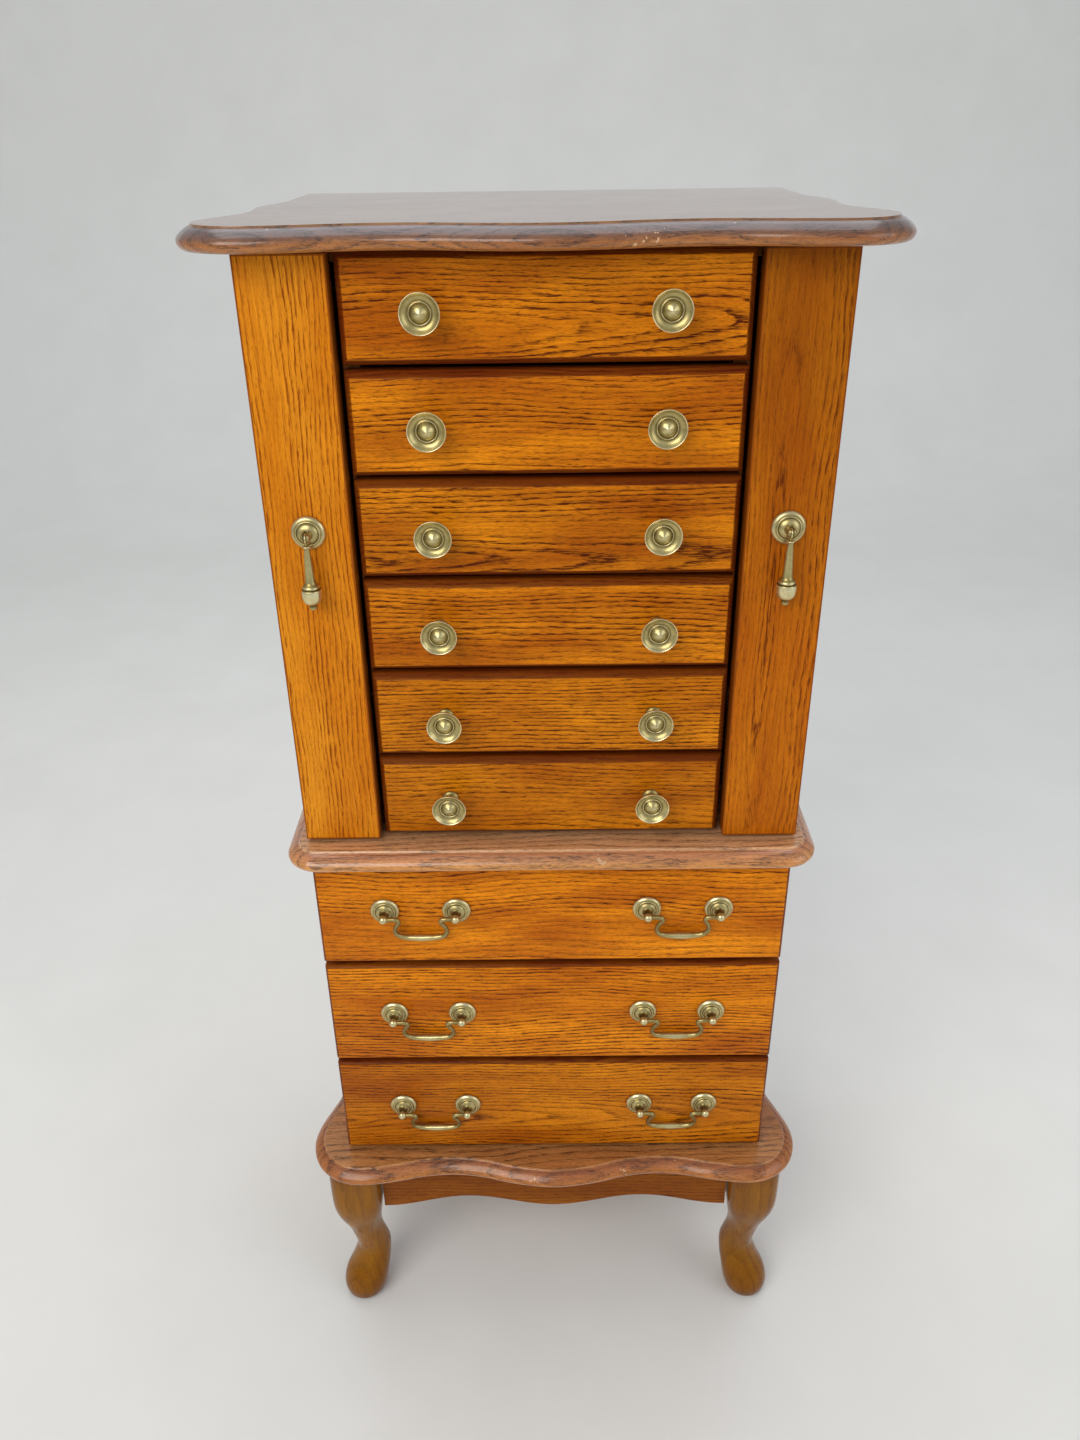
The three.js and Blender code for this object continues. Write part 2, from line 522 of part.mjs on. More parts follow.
// ---- Side doors: a front stile and a side panel that swing together on a long hinge at the back ----
const DOOR_AXIS_X = CASE_WIDTH / 2 + HINGE_BARREL_RADIUS + HINGE_BARREL_GAP;
const DOOR_AXIS_Y = UPPER_BACK_Y - DOOR_HINGE_GAP / 2;
const doorHeight = DOOR_TOP - DOOR_BOTTOM;
const doorMiddle = (DOOR_BOTTOM + DOOR_TOP) / 2;
const panelMiddle = CASE_WIDTH / 2 - DOOR_PANEL_THICKNESS / 2;
const stileBack = FACE_Y + DOOR_THICKNESS;
const panelY = (stileBack + DOOR_BACK_Y) / 2;
const hingeLength = doorHeight - 2 * HINGE_END_GAP;
for (const [side, sign] of [['left', -1], ['right', 1]]) {
  add(`door_stile_${side}`, new THREE.BoxGeometry(DOOR_WIDTH, DOOR_THICKNESS, doorHeight), OAK,
    sign * (CASE_WIDTH / 2 - DOOR_WIDTH / 2), FACE_Y + DOOR_THICKNESS / 2, doorMiddle);
  const panel = new THREE.BoxGeometry(DOOR_PANEL_THICKNESS, DOOR_BACK_Y - stileBack, doorHeight);
  panel.translate(sign * panelMiddle, panelY, doorMiddle);
  const railLength = DOOR_BACK_Y - stileBack - 2 * HOOK_RAIL_END_GAP;
  const rail = new THREE.BoxGeometry(HOOK_RAIL_THICKNESS + JOIN_OVERLAP, railLength, HOOK_RAIL_HEIGHT);
  const railX = CASE_WIDTH / 2 - DOOR_PANEL_THICKNESS - (HOOK_RAIL_THICKNESS - JOIN_OVERLAP) / 2;
  rail.translate(sign * railX, panelY, DOOR_TOP - HOOK_RAIL_DROP - HOOK_RAIL_HEIGHT / 2);
  add(`door_panel_${side}`, join(panel, rail), OAK);
  const hinge = barrelGeometry(HINGE_BARREL_RADIUS, hingeLength).rotateX(Math.PI / 2);
  add(`door_hinge_${side}`, hinge, ANTIQUE_BRASS, sign * DOOR_AXIS_X, DOOR_AXIS_Y, doorMiddle);
}

// ---- Turned pulls ----
// A profile of [radius, distance], as shares of a size each, turned about the distance axis.
function turned(profile, radius, length, sides) {
  const points = profile.map(([r, d]) => new THREE.Vector2(r * radius, d * length));
  return toGeometry(toManifold(new THREE.LatheGeometry(points, sides)));
}

const KNOB_PROFILE = [
  [0, 0], [0.5, 0], [0.3, 0.2], [0.3, 0.48], [0.78, 0.68], [1, 0.86], [0.95, 0.98], [0.72, 0.84],
  [0.42, 0.78], [0.34, 0.94], [0, 1],
];
const ROSETTE_PROFILE = [
  [0, 0], [1, 0], [1, 0.22], [0.82, 0.45], [0.62, 0.5], [0.5, 0.8], [0, 1],
];
const PENDANT_PROFILE = [
  [0, 0], [0.28, 0], [0.34, 0.06], [0.28, 0.08], [0.42, 0.5], [0.55, 0.6], [0.8, 0.64], [0.86, 0.68],
  [1, 0.7], [1, 0.82], [0.82, 0.9], [0.45, 0.92], [0.4, 1], [0, 1],
];
const KNOB_SIDES = 12;
const PENDANT_SIDES = 10;

const knobNames = ['tray_front', ...smallBoxes.map((_, i) => `small_drawer_${i + 1}`)];
knobNames.forEach((owner, i) => {
  for (const [side, sign] of [['left', -1], ['right', 1]]) {
    const knob = turned(KNOB_PROFILE, KNOB_DIAMETER / 2, KNOB_PROJECTION, KNOB_SIDES).rotateX(Math.PI);
    const height = TRAY_FRONT_Z - i * SMALL_PITCH + SMALL_FRONT_HEIGHT / 2;
    add(`knob_${owner}_${side}`, knob, ANTIQUE_BRASS, (sign * KNOB_SPACING) / 2, SMALL_FACE_Y, height);
  }
});

const pullX = CASE_WIDTH / 2 - DOOR_WIDTH / 2;
const pullZ = DOOR_BOTTOM + DROP_PULL_HEIGHT;
for (const [side, sign] of [['left', -1], ['right', 1]]) {
  const rosette = turned(ROSETTE_PROFILE, ROSETTE_DIAMETER / 2, ROSETTE_THICKNESS, KNOB_SIDES);
  add(`rosette_${side}`, rosette.rotateX(Math.PI), ANTIQUE_BRASS, sign * pullX, FACE_Y, pullZ);
  const pendant = turned(PENDANT_PROFILE, PENDANT_BELL_DIAMETER / 2, PENDANT_LENGTH, PENDANT_SIDES);
  add(`pendant_${side}`, pendant.rotateX(-Math.PI / 2), ANTIQUE_BRASS,
    sign * pullX, FACE_Y - PENDANT_PROJECTION - PENDANT_EYE_GAP, pullZ);
}

// ---- Bail pulls: a rod from post to post, in at the top, out at the shoulders, level along the bottom ----
// Each point is [share of the half spacing, share of the drop].
const BAIL_POINTS = [
  [0.7, 0], [0.61, 0.04], [0.6, 0.2], [0.7, 0.45], [0.72, 0.72], [0.6, 0.92], [0.4, 1], [0, 1.02],
];
const BAIL_STEPS = 26;
const ROD_SIDES = 8;

function bailGeometry() {
  const half = BAIL_HOLE_SPACING / 2;
  const right = [
    new THREE.Vector3(half - BAIL_POST_RADIUS, 0, 0),
    ...BAIL_POINTS.map(([x, z]) => new THREE.Vector3(x * half, 0, -z * BAIL_DROP)),
  ];
  const left = right.slice(0, -1).reverse().map((point) => new THREE.Vector3(-point.x, 0, point.z));
  const path = new THREE.CatmullRomCurve3([...right, ...left]);
  const section = new THREE.Shape();
  for (let i = 0; i < ROD_SIDES; i += 1) {
    const angle = (i / ROD_SIDES) * 2 * Math.PI;
    const step = [Math.cos(angle) * BAIL_ROD_RADIUS, Math.sin(angle) * BAIL_ROD_RADIUS];
    if (i === 0) section.moveTo(...step);
    else section.lineTo(...step);
  }
  const settings = { steps: BAIL_STEPS, extrudePath: path, bevelEnabled: false };
  const rod = new THREE.ExtrudeGeometry(section, settings);
  return rod.rotateX(THREE.MathUtils.degToRad(BAIL_LEAN));
}

for (let i = 0; i < LARGE_DRAWERS; i += 1) {
  const height = largeFrontZ(i) + LARGE_FRONT_HEIGHT / 2 + BAIL_RISE;
  for (const [side, sign] of [['left', -1], ['right', 1]]) {
    add(`bail_${i + 1}_${side}`, toGeometry(toManifold(bailGeometry())), ANTIQUE_BRASS,
      (sign * BAIL_SPACING) / 2, FACE_Y - BAIL_PROJECTION, height);
  }
}

export default group;
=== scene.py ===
import json
import math

import bmesh
import bpy
from mathutils import Matrix, Vector

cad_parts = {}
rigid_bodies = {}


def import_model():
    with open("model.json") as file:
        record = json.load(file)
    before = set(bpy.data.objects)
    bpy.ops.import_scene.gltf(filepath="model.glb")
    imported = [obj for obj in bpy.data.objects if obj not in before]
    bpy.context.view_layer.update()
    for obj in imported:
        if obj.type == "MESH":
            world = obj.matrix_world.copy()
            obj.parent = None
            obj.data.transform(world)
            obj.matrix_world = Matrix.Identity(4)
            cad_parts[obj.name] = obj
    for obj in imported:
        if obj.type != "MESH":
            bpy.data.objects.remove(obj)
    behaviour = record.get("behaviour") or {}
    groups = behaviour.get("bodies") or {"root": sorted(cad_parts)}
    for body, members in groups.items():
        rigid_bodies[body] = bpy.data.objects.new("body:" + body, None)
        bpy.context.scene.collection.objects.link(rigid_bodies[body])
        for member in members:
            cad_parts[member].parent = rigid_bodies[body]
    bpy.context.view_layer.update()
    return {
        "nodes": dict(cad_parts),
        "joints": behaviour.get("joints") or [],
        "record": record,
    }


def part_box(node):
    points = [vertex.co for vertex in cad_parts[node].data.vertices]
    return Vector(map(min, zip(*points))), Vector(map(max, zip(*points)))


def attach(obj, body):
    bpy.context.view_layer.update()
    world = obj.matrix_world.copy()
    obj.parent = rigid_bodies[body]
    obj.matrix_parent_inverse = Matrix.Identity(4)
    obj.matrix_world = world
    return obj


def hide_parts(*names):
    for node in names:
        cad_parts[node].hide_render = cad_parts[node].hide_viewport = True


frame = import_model()

MM = 0.001
SIDES = (("left", -1), ("right", 1))
BODY = {n: b for b, members in frame["record"]["behaviour"]["bodies"].items() for n in members}


def span(node):
    """Lowest and highest corner of a CAD node, in millimetres."""
    low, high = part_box(node)
    return [c / MM for c in low], [c / MM for c in high]


def rgb(red, green, blue):
    """Screen colour 0-255 to a linear colour."""
    parts = [c / 255 for c in (red, green, blue)]
    return [c / 12.92 if c <= 0.04045 else ((c + 0.055) / 1.055) ** 2.4 for c in parts] + [1]


def tone(colour, factor):
    """The colour made lighter or darker."""
    return [c * factor for c in colour[:3]] + [1]


# ---- Curves through points ----
def catmull(points, steps):
    """Uniform Catmull-Rom curve through points of any length, steps per span, ends included."""
    last = len(points) - 1
    made = []
    for k in range(last):
        p = [points[max(0, min(last, k + d))] for d in (-1, 0, 1, 2)]
        for i in range(steps):
            t = i / steps
            row = []
            for a, b, c, d in zip(*p):
                v0, v1 = (c - a) / 2, (d - b) / 2
                cubic, square = 2 * b - 2 * c + v0 + v1, 3 * c - 3 * b - 2 * v0 - v1
                row.append(cubic * t**3 + square * t**2 + v0 * t + b)
            made.append(row)
    made.append(list(points[-1]))
    return made


# ---- Meshes: each shape's builder returns (vertices in mm, faces, one wear value per vertex or None) ----
def skin(count, rings, capped=True):
    """Faces over rings of count points each, with both ends closed if capped."""
    faces = [
        (j * count + i, j * count + (i + 1) % count, (j + 1) * count + (i + 1) % count, (j + 1) * count + i)
        for j in range(rings - 1)
        for i in range(count)
    ]
    if capped:
        faces += [tuple(range(count)), tuple(range((rings - 1) * count, rings * count))]
    return faces


def slab(points, outward, rings):
    """A closed slab whose outline moves outward by each ring's reach: rings are (height, reach)."""
    verts = [(x + ox * r, y + oy * r, h) for h, r in rings for (x, y), (ox, oy) in zip(points, outward)]
    return verts, skin(len(points), len(rings)), None


def lathe(profile, sides=56):
    """Turns (radius, distance, wear) about the distance axis, which points along -Y."""
    verts, faces, wear, rings = [], [], [], []
    for r, d, w in profile:
        start = len(verts)
        count = 1 if r < 1e-6 else sides
        for i in range(count):
            a = 2 * math.pi * i / sides
            verts.append((r * math.cos(a), -d, r * math.sin(a)))
            wear.append(w)
        rings.append((start, count))
    for (s0, c0), (s1, c1) in zip(rings, rings[1:]):
        for i in range(sides):
            j = (i + 1) % sides
            if c0 == 1:
                faces.append((s0, s1 + i, s1 + j))
            elif c1 == 1:
                faces.append((s0 + i, s1, s0 + j))
            else:
                faces.append((s0 + i, s0 + j, s1 + j, s1 + i))
    return verts, faces, wear


def tube(path, radii, sides=20):
    """A round rod along a path of points, with one radius per point and flat ends."""
    points = [Vector(p) for p in path]
    verts, wear = [], []
    side = None
    for k, p in enumerate(points):
        along = (points[min(k + 1, len(points) - 1)] - points[max(k - 1, 0)]).normalized()
        if side is None:
            side = along.orthogonal().normalized()
        side = (side - along * side.dot(along)).normalized()
        up = along.cross(side)
        for i in range(sides):
            a = 2 * math.pi * i / sides
            verts.append(p + (side * math.cos(a) + up * math.sin(a)) * radii[k])
            wear.append(min(1, max(0, 0.45 + 0.5 * (radii[k] / max(radii) - 0.75) * 2)))
    return verts, skin(sides, len(points)), wear


def geometry_of(bm):
    """What a bmesh holds, as a builder's result; frees it."""
    made = [tuple(v.co) for v in bm.verts], [tuple(v.index for v in f.verts) for f in bm.faces], None
    bm.free()
    return made


def board(low, high, round_by=0.8):
    """A board with rounded edges."""
    bm = bmesh.new()
    bmesh.ops.create_cube(bm, size=1)
    for v in bm.verts:
        v.co = Vector([(a + b) / 2 + c * (b - a) for a, b, c in zip(low, high, v.co)])
    bmesh.ops.bevel(bm, geom=bm.edges[:], offset=round_by, segments=3, profile=0.5, affect="EDGES")
    return geometry_of(bm)


def together(*geometries):
    """Several builders' results as one."""
    verts, faces, wear = [], [], []
    for v, f, w in geometries:
        faces += [tuple(i + len(verts) for i in face) for face in f]
        verts += list(v)
        wear += list(w) if w else [0.5] * len(v)
    return verts, faces, wear


def moved(geometry, matrix):
    verts, faces, wear = geometry
    return [tuple(matrix @ Vector(v)) for v in verts], faces, wear


def turn(axis, degrees, at=(0, 0, 0)):
    """A turn about an axis, then a move."""
    return Matrix.Translation(at) @ Matrix.Rotation(math.radians(degrees), 4, axis)


def mesh_of(name, geometry, material, sharp=32):
    """A smooth-shaded mesh in metres, creased where faces meet at more than sharp degrees."""
    verts, faces, wear = geometry
    mesh = bpy.data.meshes.new(name)
    mesh.from_pydata([[c * MM for c in v] for v in verts], [], faces)
    if wear:
        mesh.attributes.new("wear", "FLOAT", "POINT").data.foreach_set("value", wear)
    bm = bmesh.new()
    bm.from_mesh(mesh)
    bmesh.ops.recalc_face_normals(bm, faces=bm.faces)
    for f in bm.faces:
        f.smooth = True
    for e in bm.edges:
        e.smooth = len(e.link_faces) == 2 and e.calc_face_angle() < math.radians(sharp)
    bm.to_mesh(mesh)
    bm.free()
    mesh.materials.append(material)
    return mesh


def piece(name, mesh, body, at=(0, 0, 0), replaces=()):
    """Puts a mesh in the scene as a piece of the object."""
    obj = bpy.data.objects.new(name, mesh)
    obj.location = [c * MM for c in at]
    bpy.context.scene.collection.objects.link(obj)
    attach(obj, body)
    if replaces:
        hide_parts(*replaces)
    return obj


# ---- Materials ----
class Tree:
    """A Principled material under construction."""

    def __init__(self, name):
        self.material = bpy.data.materials.new(name)
        self.material.use_nodes = True
        self.tree = self.material.node_tree
        self.tree.nodes.clear()
        self.shader = self.node("ShaderNodeBsdfPrincipled")
        out = self.node("ShaderNodeOutputMaterial")
        self.tree.links.new(self.shader.outputs["BSDF"], out.inputs["Surface"])

    def node(self, kind, **settings):
        node = self.tree.nodes.new(kind)
        for key, value in settings.items():
            setattr(node, key, value)
        return node

    def put(self, socket, value):
        if isinstance(value, bpy.types.NodeSocket):
            self.tree.links.new(value, socket)
        else:
            socket.default_value = value

    def set(self, **values):
        for key, value in values.items():
            self.put(self.shader.inputs[key.replace("_", " ")], value)

    def math(self, operation, a, b=0.0, c=0.0, clamp=False):
        node = self.node("ShaderNodeMath", operation=operation, use_clamp=clamp)
        for socket, value in zip(node.inputs, (a, b, c)):
            self.put(socket, value)
        return node.outputs[0]

    def vector(self, x, y, z):
        node = self.node("ShaderNodeCombineXYZ")
        for socket, value in zip(node.inputs, (x, y, z)):
            self.put(socket, value)
        return node.outputs[0]

    def noise(self, vector, scale=1.0, detail=2.0, roughness=0.5, distortion=0.0):
        node = self.node("ShaderNodeTexNoise")
        self.put(node.inputs["Vector"], vector)
        settings = {"Scale": scale, "Detail": detail, "Roughness": roughness, "Distortion": distortion}
        for key, value in settings.items():
            self.put(node.inputs[key], value)
        return node.outputs["Fac"]

    def ramp(self, value, *stops):
        """Stops are (place, grey level or colour)."""
        node = self.node("ShaderNodeValToRGB")
        ramp = node.color_ramp
        for _ in stops[2:]:
            ramp.elements.new(0.5)
        for element, (place, colour) in zip(ramp.elements, stops):
            element.position = place
            element.color = colour if hasattr(colour, "__len__") else [colour, colour, colour, 1]
        self.put(node.inputs[0], value)
        return node.outputs[0]

    def mix(self, factor, a, b, blend="MIX"):
        node = self.node("ShaderNodeMix", data_type="RGBA", blend_type=blend)
        self.put(node.inputs[0], factor)
        self.put(node.inputs[6], a)
        self.put(node.inputs[7], b)
        return node.outputs[2]

    def place(self, centre=(0, 0, 0)):
        """Object coordinates from a centre, in millimetres, as x, y, z."""
        coordinate = self.node("ShaderNodeTexCoord").outputs["Object"]
        scaled = self.node("ShaderNodeVectorMath", operation="MULTIPLY_ADD")
        self.put(scaled.inputs[0], coordinate)
        scaled.inputs[1].default_value = (1 / MM,) * 3
        scaled.inputs[2].default_value = [-c for c in centre]
        split = self.node("ShaderNodeSeparateXYZ")
        self.put(split.inputs[0], scaled.outputs[0])
        return list(split.outputs), scaled.outputs[0]

    def stretched(self, along, across, depth, lengths, seed):
        """A vector that noise reads as cells of the given lengths."""
        return self.vector(
            self.math("MULTIPLY_ADD", along, 1 / lengths[0], seed * 7.31),
            self.math("MULTIPLY_ADD", across, 1 / lengths[1], seed * 3.17),
            self.math("MULTIPLY_ADD", depth, 1 / lengths[2], seed * 5.53),
        )

    def bump(self, height, strength, depth_mm):
        node = self.node("ShaderNodeBump")
        self.put(node.inputs["Strength"], strength)
        self.put(node.inputs["Distance"], depth_mm * MM)
        self.put(node.inputs["Height"], height)
        self.put(self.shader.inputs["Normal"], node.outputs[0])


AXES = {"X": 0, "Y": 1, "Z": 2}
HONEY = rgb(206, 118, 12)
HONEY_LIGHT = rgb(230, 146, 30)
STREAK = rgb(104, 42, 1)
BEVEL = rgb(86, 24, 8)
BARE_WOOD = rgb(204, 164, 120)


def wood(
    name, grain, normal, centre=(0, 0, 0), seed=1.0, body=HONEY, light=HONEY_LIGHT, dark=STREAK, spacing=5.0,
    pith=(160.0, 40.0), tilt=0.02, wave=7.0, streak=1.0, pore=1.0, edge=None, height=None, chips=None,
    drift=None, roughness=(0.34, 0.5), coat=0.02, coat_rough=0.14, specular=0.2, glint=(1, 0.7, 0.34, 1),
    haze=0.0,
):
    """Open-grained wood cut from a log: growth rings about a pith that lies (across, behind) the centre and
    leans by tilt, with dark pores in the early wood.

    edge = (half length, half width, bevel, colour) stains the bevelled edges and paints a highlight along
    the arris height = (low, thickness, stops) tints by height, and chips = ((spot, reach), ...) wears the
    edge through drift = (axis, from, to, factor) darkens the board slowly towards one end, a painted shade
    glint tints the highlights, and haze is a pale bloom seen at a low angle
    """
    t = Tree(name)
    xyz, flat = t.place(centre)
    lengthwise, facing = AXES[grain], AXES[normal]
    along, behind = xyz[lengthwise], xyz[facing]
    across = xyz[3 - lengthwise - facing]
    sway = t.noise(t.stretched(along, across, behind, (240, 90, 90), seed), detail=1)
    wobble = t.noise(t.stretched(along, across, behind, (55, 13, 13), seed + 1), detail=2)
    flutter = t.noise(t.stretched(along, across, behind, (11, 2.2, 2.2), seed + 2), detail=1)
    shift = t.math("MULTIPLY_ADD", sway, 2 * wave, pith[0] - wave)
    from_pith = t.math("ADD", across, shift)
    deep = t.math("ADD", t.math("MULTIPLY_ADD", along, tilt, pith[1]), behind)
    distance = t.math("SQRT", t.math("ADD", t.math("POWER", from_pith, 2), t.math("POWER", deep, 2)))
    distance = t.math("MULTIPLY_ADD", wobble, 5.0, distance)
    distance = t.math("MULTIPLY_ADD", flutter, 1.1, distance)
    phase = t.math("DIVIDE", distance, spacing)
    ring = t.math("FRACT", phase)
    early = t.ramp(ring, (0, 1), (0.16, 0.8), (0.36, 0.25), (0.6, 0.04), (0.9, 0.02), (1, 1))
    which = t.noise(t.vector(t.math("MULTIPLY", phase, 0.21), seed, 0), detail=2)
    strong = t.ramp(which, (0.34, 0.22), (0.6, 1))
    dashes = t.noise(t.stretched(along, across, behind, (12, 0.85, 0.85), seed + 3), detail=2)
    dash = t.ramp(dashes, (0.42, 0), (0.55, 1))
    flecks = t.noise(t.stretched(along, across, behind, (4.2, 0.42, 0.42), seed + 4), detail=1)
    fleck = t.ramp(flecks, (0.5, 0), (0.66, 1))
    in_early = t.math("MULTIPLY", early, strong)
    broken = t.math("MULTIPLY", in_early, t.math("MULTIPLY_ADD", dash, 1.0, 0.28))
    scattered = t.math("MULTIPLY", fleck, t.math("MULTIPLY_ADD", dash, 0.42 * pore, 0.16 * pore))
    amount = t.math("MULTIPLY_ADD", broken, streak, scattered, clamp=True)
    cloud = t.noise(t.stretched(along, across, behind, (130, 34, 34), seed + 5), detail=2)
    fibre = t.noise(t.stretched(along, across, behind, (38, 1.6, 1.6), seed + 6), detail=2)
    ground = t.mix(t.ramp(cloud, (0.32, 0), (0.68, 1)), body, light)
    ground = t.mix(t.ramp(fibre, (0.3, 0.3), (0.7, 0)), ground, dark)
    colour = t.mix(amount, ground, dark)
    # Painted shade: the board darkens slowly towards one end
    if drift:
        axis, start, stop, factor = drift
        share = t.math("DIVIDE", t.math("SUBTRACT", xyz[AXES[axis]], start), stop - start, clamp=True)
        colour = t.mix(share, colour, t.mix(1.0, colour, [factor, factor, factor, 1], "MULTIPLY"))
    if edge:
        half_length, half_width, bevel, stain = edge
        ends = t.math("SUBTRACT", half_length, t.math("ABSOLUTE", along))
        sides = t.math("SUBTRACT", half_width, t.math("ABSOLUTE", across))
        inward = t.math("DIVIDE", t.math("MINIMUM", ends, sides), 2 * bevel, clamp=True)
        inward = t.math("MULTIPLY_ADD", t.math("SUBTRACT", fibre, 0.5), 0.12, inward)
        stained = t.ramp(inward, (0.3, 0.97), (0.47, 0.88), (0.56, 0))
        colour = t.mix(stained, colour, t.mix(0.16, stain, colour))
        # A lighter line along the arris, broken by noise: edge wear, and also a painted highlight
        arris_highlight = t.ramp(inward, (0.44, 0), (0.5, 1), (0.57, 0))
        worn = t.math("MULTIPLY", arris_highlight, t.ramp(wobble, (0.45, 0), (0.7, 0.6)))
        colour = t.mix(worn, colour, light)
    if height:
        low, thickness, stops = height
        share = t.math("DIVIDE", t.math("SUBTRACT", xyz[2], low), thickness, clamp=True)
        colour = t.mix(1.0, colour, t.ramp(share, *stops), "MULTIPLY")
        if chips:
            specks = t.noise(flat, scale=0.16, detail=3, roughness=0.7)
            for spot, reach in chips:
                away = t.node("ShaderNodeVectorMath", operation="DISTANCE")
                t.put(away.inputs[0], flat)
                away.inputs[1].default_value = spot
                near = t.math("DIVIDE", away.outputs["Value"], reach, clamp=True)
                specks = t.math("MULTIPLY_ADD", t.math("SUBTRACT", 1.0, near), 0.2, specks)
            chip = t.ramp(specks, (0.715, 0), (0.73, 1))
            below_top = t.ramp(share, (0.94, 1), (0.99, 0))
            colour = t.mix(t.math("MULTIPLY", chip, below_top), colour, BARE_WOOD)
    low_rough, high_rough = roughness
    smudge = t.noise(flat, scale=0.02, detail=3, roughness=0.6)
    rough = t.math("MULTIPLY_ADD", smudge, high_rough - low_rough, low_rough - 0.02)
    t.set(
        Base_Color=colour, Roughness=t.math("MULTIPLY_ADD", amount, 0.12, rough, clamp=True),
        Coat_Weight=coat, Coat_Roughness=coat_rough, Specular_IOR_Level=specular, Specular_Tint=glint,
    )
    if haze:
        t.set(Sheen_Weight=haze, Sheen_Roughness=0.28, Sheen_Tint=(0.9, 0.93, 1.0, 1))
    sunk = t.math("MULTIPLY", amount, -1.0)
    t.bump(t.math("MULTIPLY_ADD", smudge, 0.5, t.math("MULTIPLY_ADD", fibre, 0.15, sunk)), 0.3, 0.14)
    return t.material


def brass(name, brightness=1.0, seed=0.0):
    """Antique brass: dark in the hollows, rubbed bright on the high spots, by the mesh's wear attribute."""
    t = Tree(name)
    x, y, z = t.place()[0]
    worn = t.node("ShaderNodeAttribute", attribute_name="wear").outputs["Fac"]
    patches = t.noise(t.vector(x, y, t.math("ADD", z, seed * 31)), scale=0.16, detail=3, roughness=0.65)
    scratches = t.noise(t.stretched(x, y, z, (7, 0.6, 0.6), seed), detail=2)
    amount = t.math("MULTIPLY_ADD", patches, 0.5, t.math("SUBTRACT", worn, 0.25), clamp=True)
    amount = t.math("MULTIPLY_ADD", t.math("SUBTRACT", scratches, 0.5), 0.16, amount, clamp=True)
    colour = t.ramp(
        amount, (0.05, tone(rgb(84, 70, 38), brightness)), (0.32, tone(rgb(148, 130, 78), brightness)),
        (0.6, tone(rgb(188, 172, 118), brightness)), (0.95, tone(rgb(228, 216, 172), brightness)),
    )
    t.set(Base_Color=colour, Metallic=0.92, Roughness=t.math("MULTIPLY_ADD", amount, -0.16, 0.42))
    t.bump(t.math("MULTIPLY_ADD", patches, 0.4, scratches), 0.12, 0.05)
    return t.material


def velvet(name, colour):
    """Cut pile: brushed lighter and darker in patches, with a sheen of its own colour."""
    t = Tree(name)
    flat = t.place()[1]
    nap = t.noise(flat, scale=0.03, detail=3, roughness=0.6)
    pile = t.noise(flat, scale=2.2, detail=2)
    ground = t.mix(t.ramp(nap, (0.35, 0), (0.65, 1)), tone(colour, 0.7), tone(colour, 1.35))
    t.set(Base_Color=t.mix(t.ramp(pile, (0.35, 0.5), (0.65, 0)), ground, tone(colour, 0.35)))
    t.set(Roughness=t.math("MULTIPLY_ADD", nap, 0.12, 0.82), Sheen_Weight=0.7, Sheen_Roughness=0.4)
    t.set(Sheen_Tint=tone(colour, 2.2))
    t.bump(pile, 0.5, 0.3)
    return t.material


def mirror_glass(name):
    """Silvering with a faint haze and a few age spots."""
    t = Tree(name)
    flat = t.place()[1]
    haze = t.noise(flat, scale=0.015, detail=4, roughness=0.65)
    spots = t.noise(flat, scale=0.09, detail=2)
    colour = t.mix(t.ramp(spots, (0.7, 0), (0.76, 0.5)), rgb(226, 231, 232), rgb(150, 152, 148))
    t.set(Base_Color=colour, Metallic=1.0, Roughness=t.math("MULTIPLY_ADD", haze, 0.08, 0.0))
    return t.material


BRASS = brass("antique_brass")
BRASS_WORN = brass("antique_brass_rubbed", 1.06, 2.0)
VELVET = velvet("wine_velvet", rgb(120, 26, 38))

# ---- Moulded boards ----
# (share of the thickness, share of the reach)
EDGE_PROFILE = (
    (0, 0.68), (0.1, 0.88), (0.28, 1), (0.44, 0.97), (0.58, 0.82), (0.71, 0.6), (0.82, 0.36), (0.9, 0.1),
    (1, 0),
)
# Right half of the wavy outline. The wave runs from the middle to the dip, as shares of both its sizes; the
# corner's points go on to the back, as (in from the widest side, behind the front bulge)
WAVE_POINTS = ((0, 0), (0.38, 0.28), (0.7, 0.78), (1, 1))
CORNER_POINTS = (
    (107, 14), (77, 8), (47, 4), (27, 6.5), (12, 16), (3.5, 29), (0, 45), (2.5, 62), (9.5, 81), (17, 101),
    (20.5, 121), (19, 144), (16.5, 166), (18.5, 188), (24.5, 211), (27.5, 231),
)
MOULDING_REACH = 11
DIP_FROM_SIDE = 137.5
DIP_DEPTH = 16


def outward_of(points):
    """Which way is outward at each point of an outline that runs from its back left to its back right."""
    found = [(math.copysign(1, points[0][0]), 0)]
    for before, after in zip(points, points[2:]):
        dx, dy = after[0] - before[0], after[1] - before[1]
        length = math.hypot(dx, dy)
        found.append((dy / length, -dx / length))
    return found + [(math.copysign(1, points[-1][0]), 0)]


def moulded(points, low, thickness):
    """A board with that outline on its flat top and the moulded edge outside it."""
    fine = [(min(1, max(0, up)), min(1, max(0, out))) for up, out in catmull(EDGE_PROFILE, 4)]
    rings = [(low + up * thickness, out * MOULDING_REACH) for up, out in fine]
    return slab(points, outward_of(points), rings)


def serpentine(low, high):
    """The wavy outline of the flat top, in a board that fills the box."""
    half, front, back = high[0] - MOULDING_REACH, low[1] + MOULDING_REACH, high[1]
    dip = half - DIP_FROM_SIDE
    right = [(x * dip, front + y * DIP_DEPTH) for x, y in WAVE_POINTS]
    right += [(half - x, front + y) for x, y in CORNER_POINTS]
    curve = catmull([(-x, y) for x, y in right[:0:-1]] + right, 7)
    curve = [(max(-half, min(half, x)), max(front, y)) for x, y in curve]
    return [(curve[0][0], back)] + curve + [(curve[-1][0], back)]


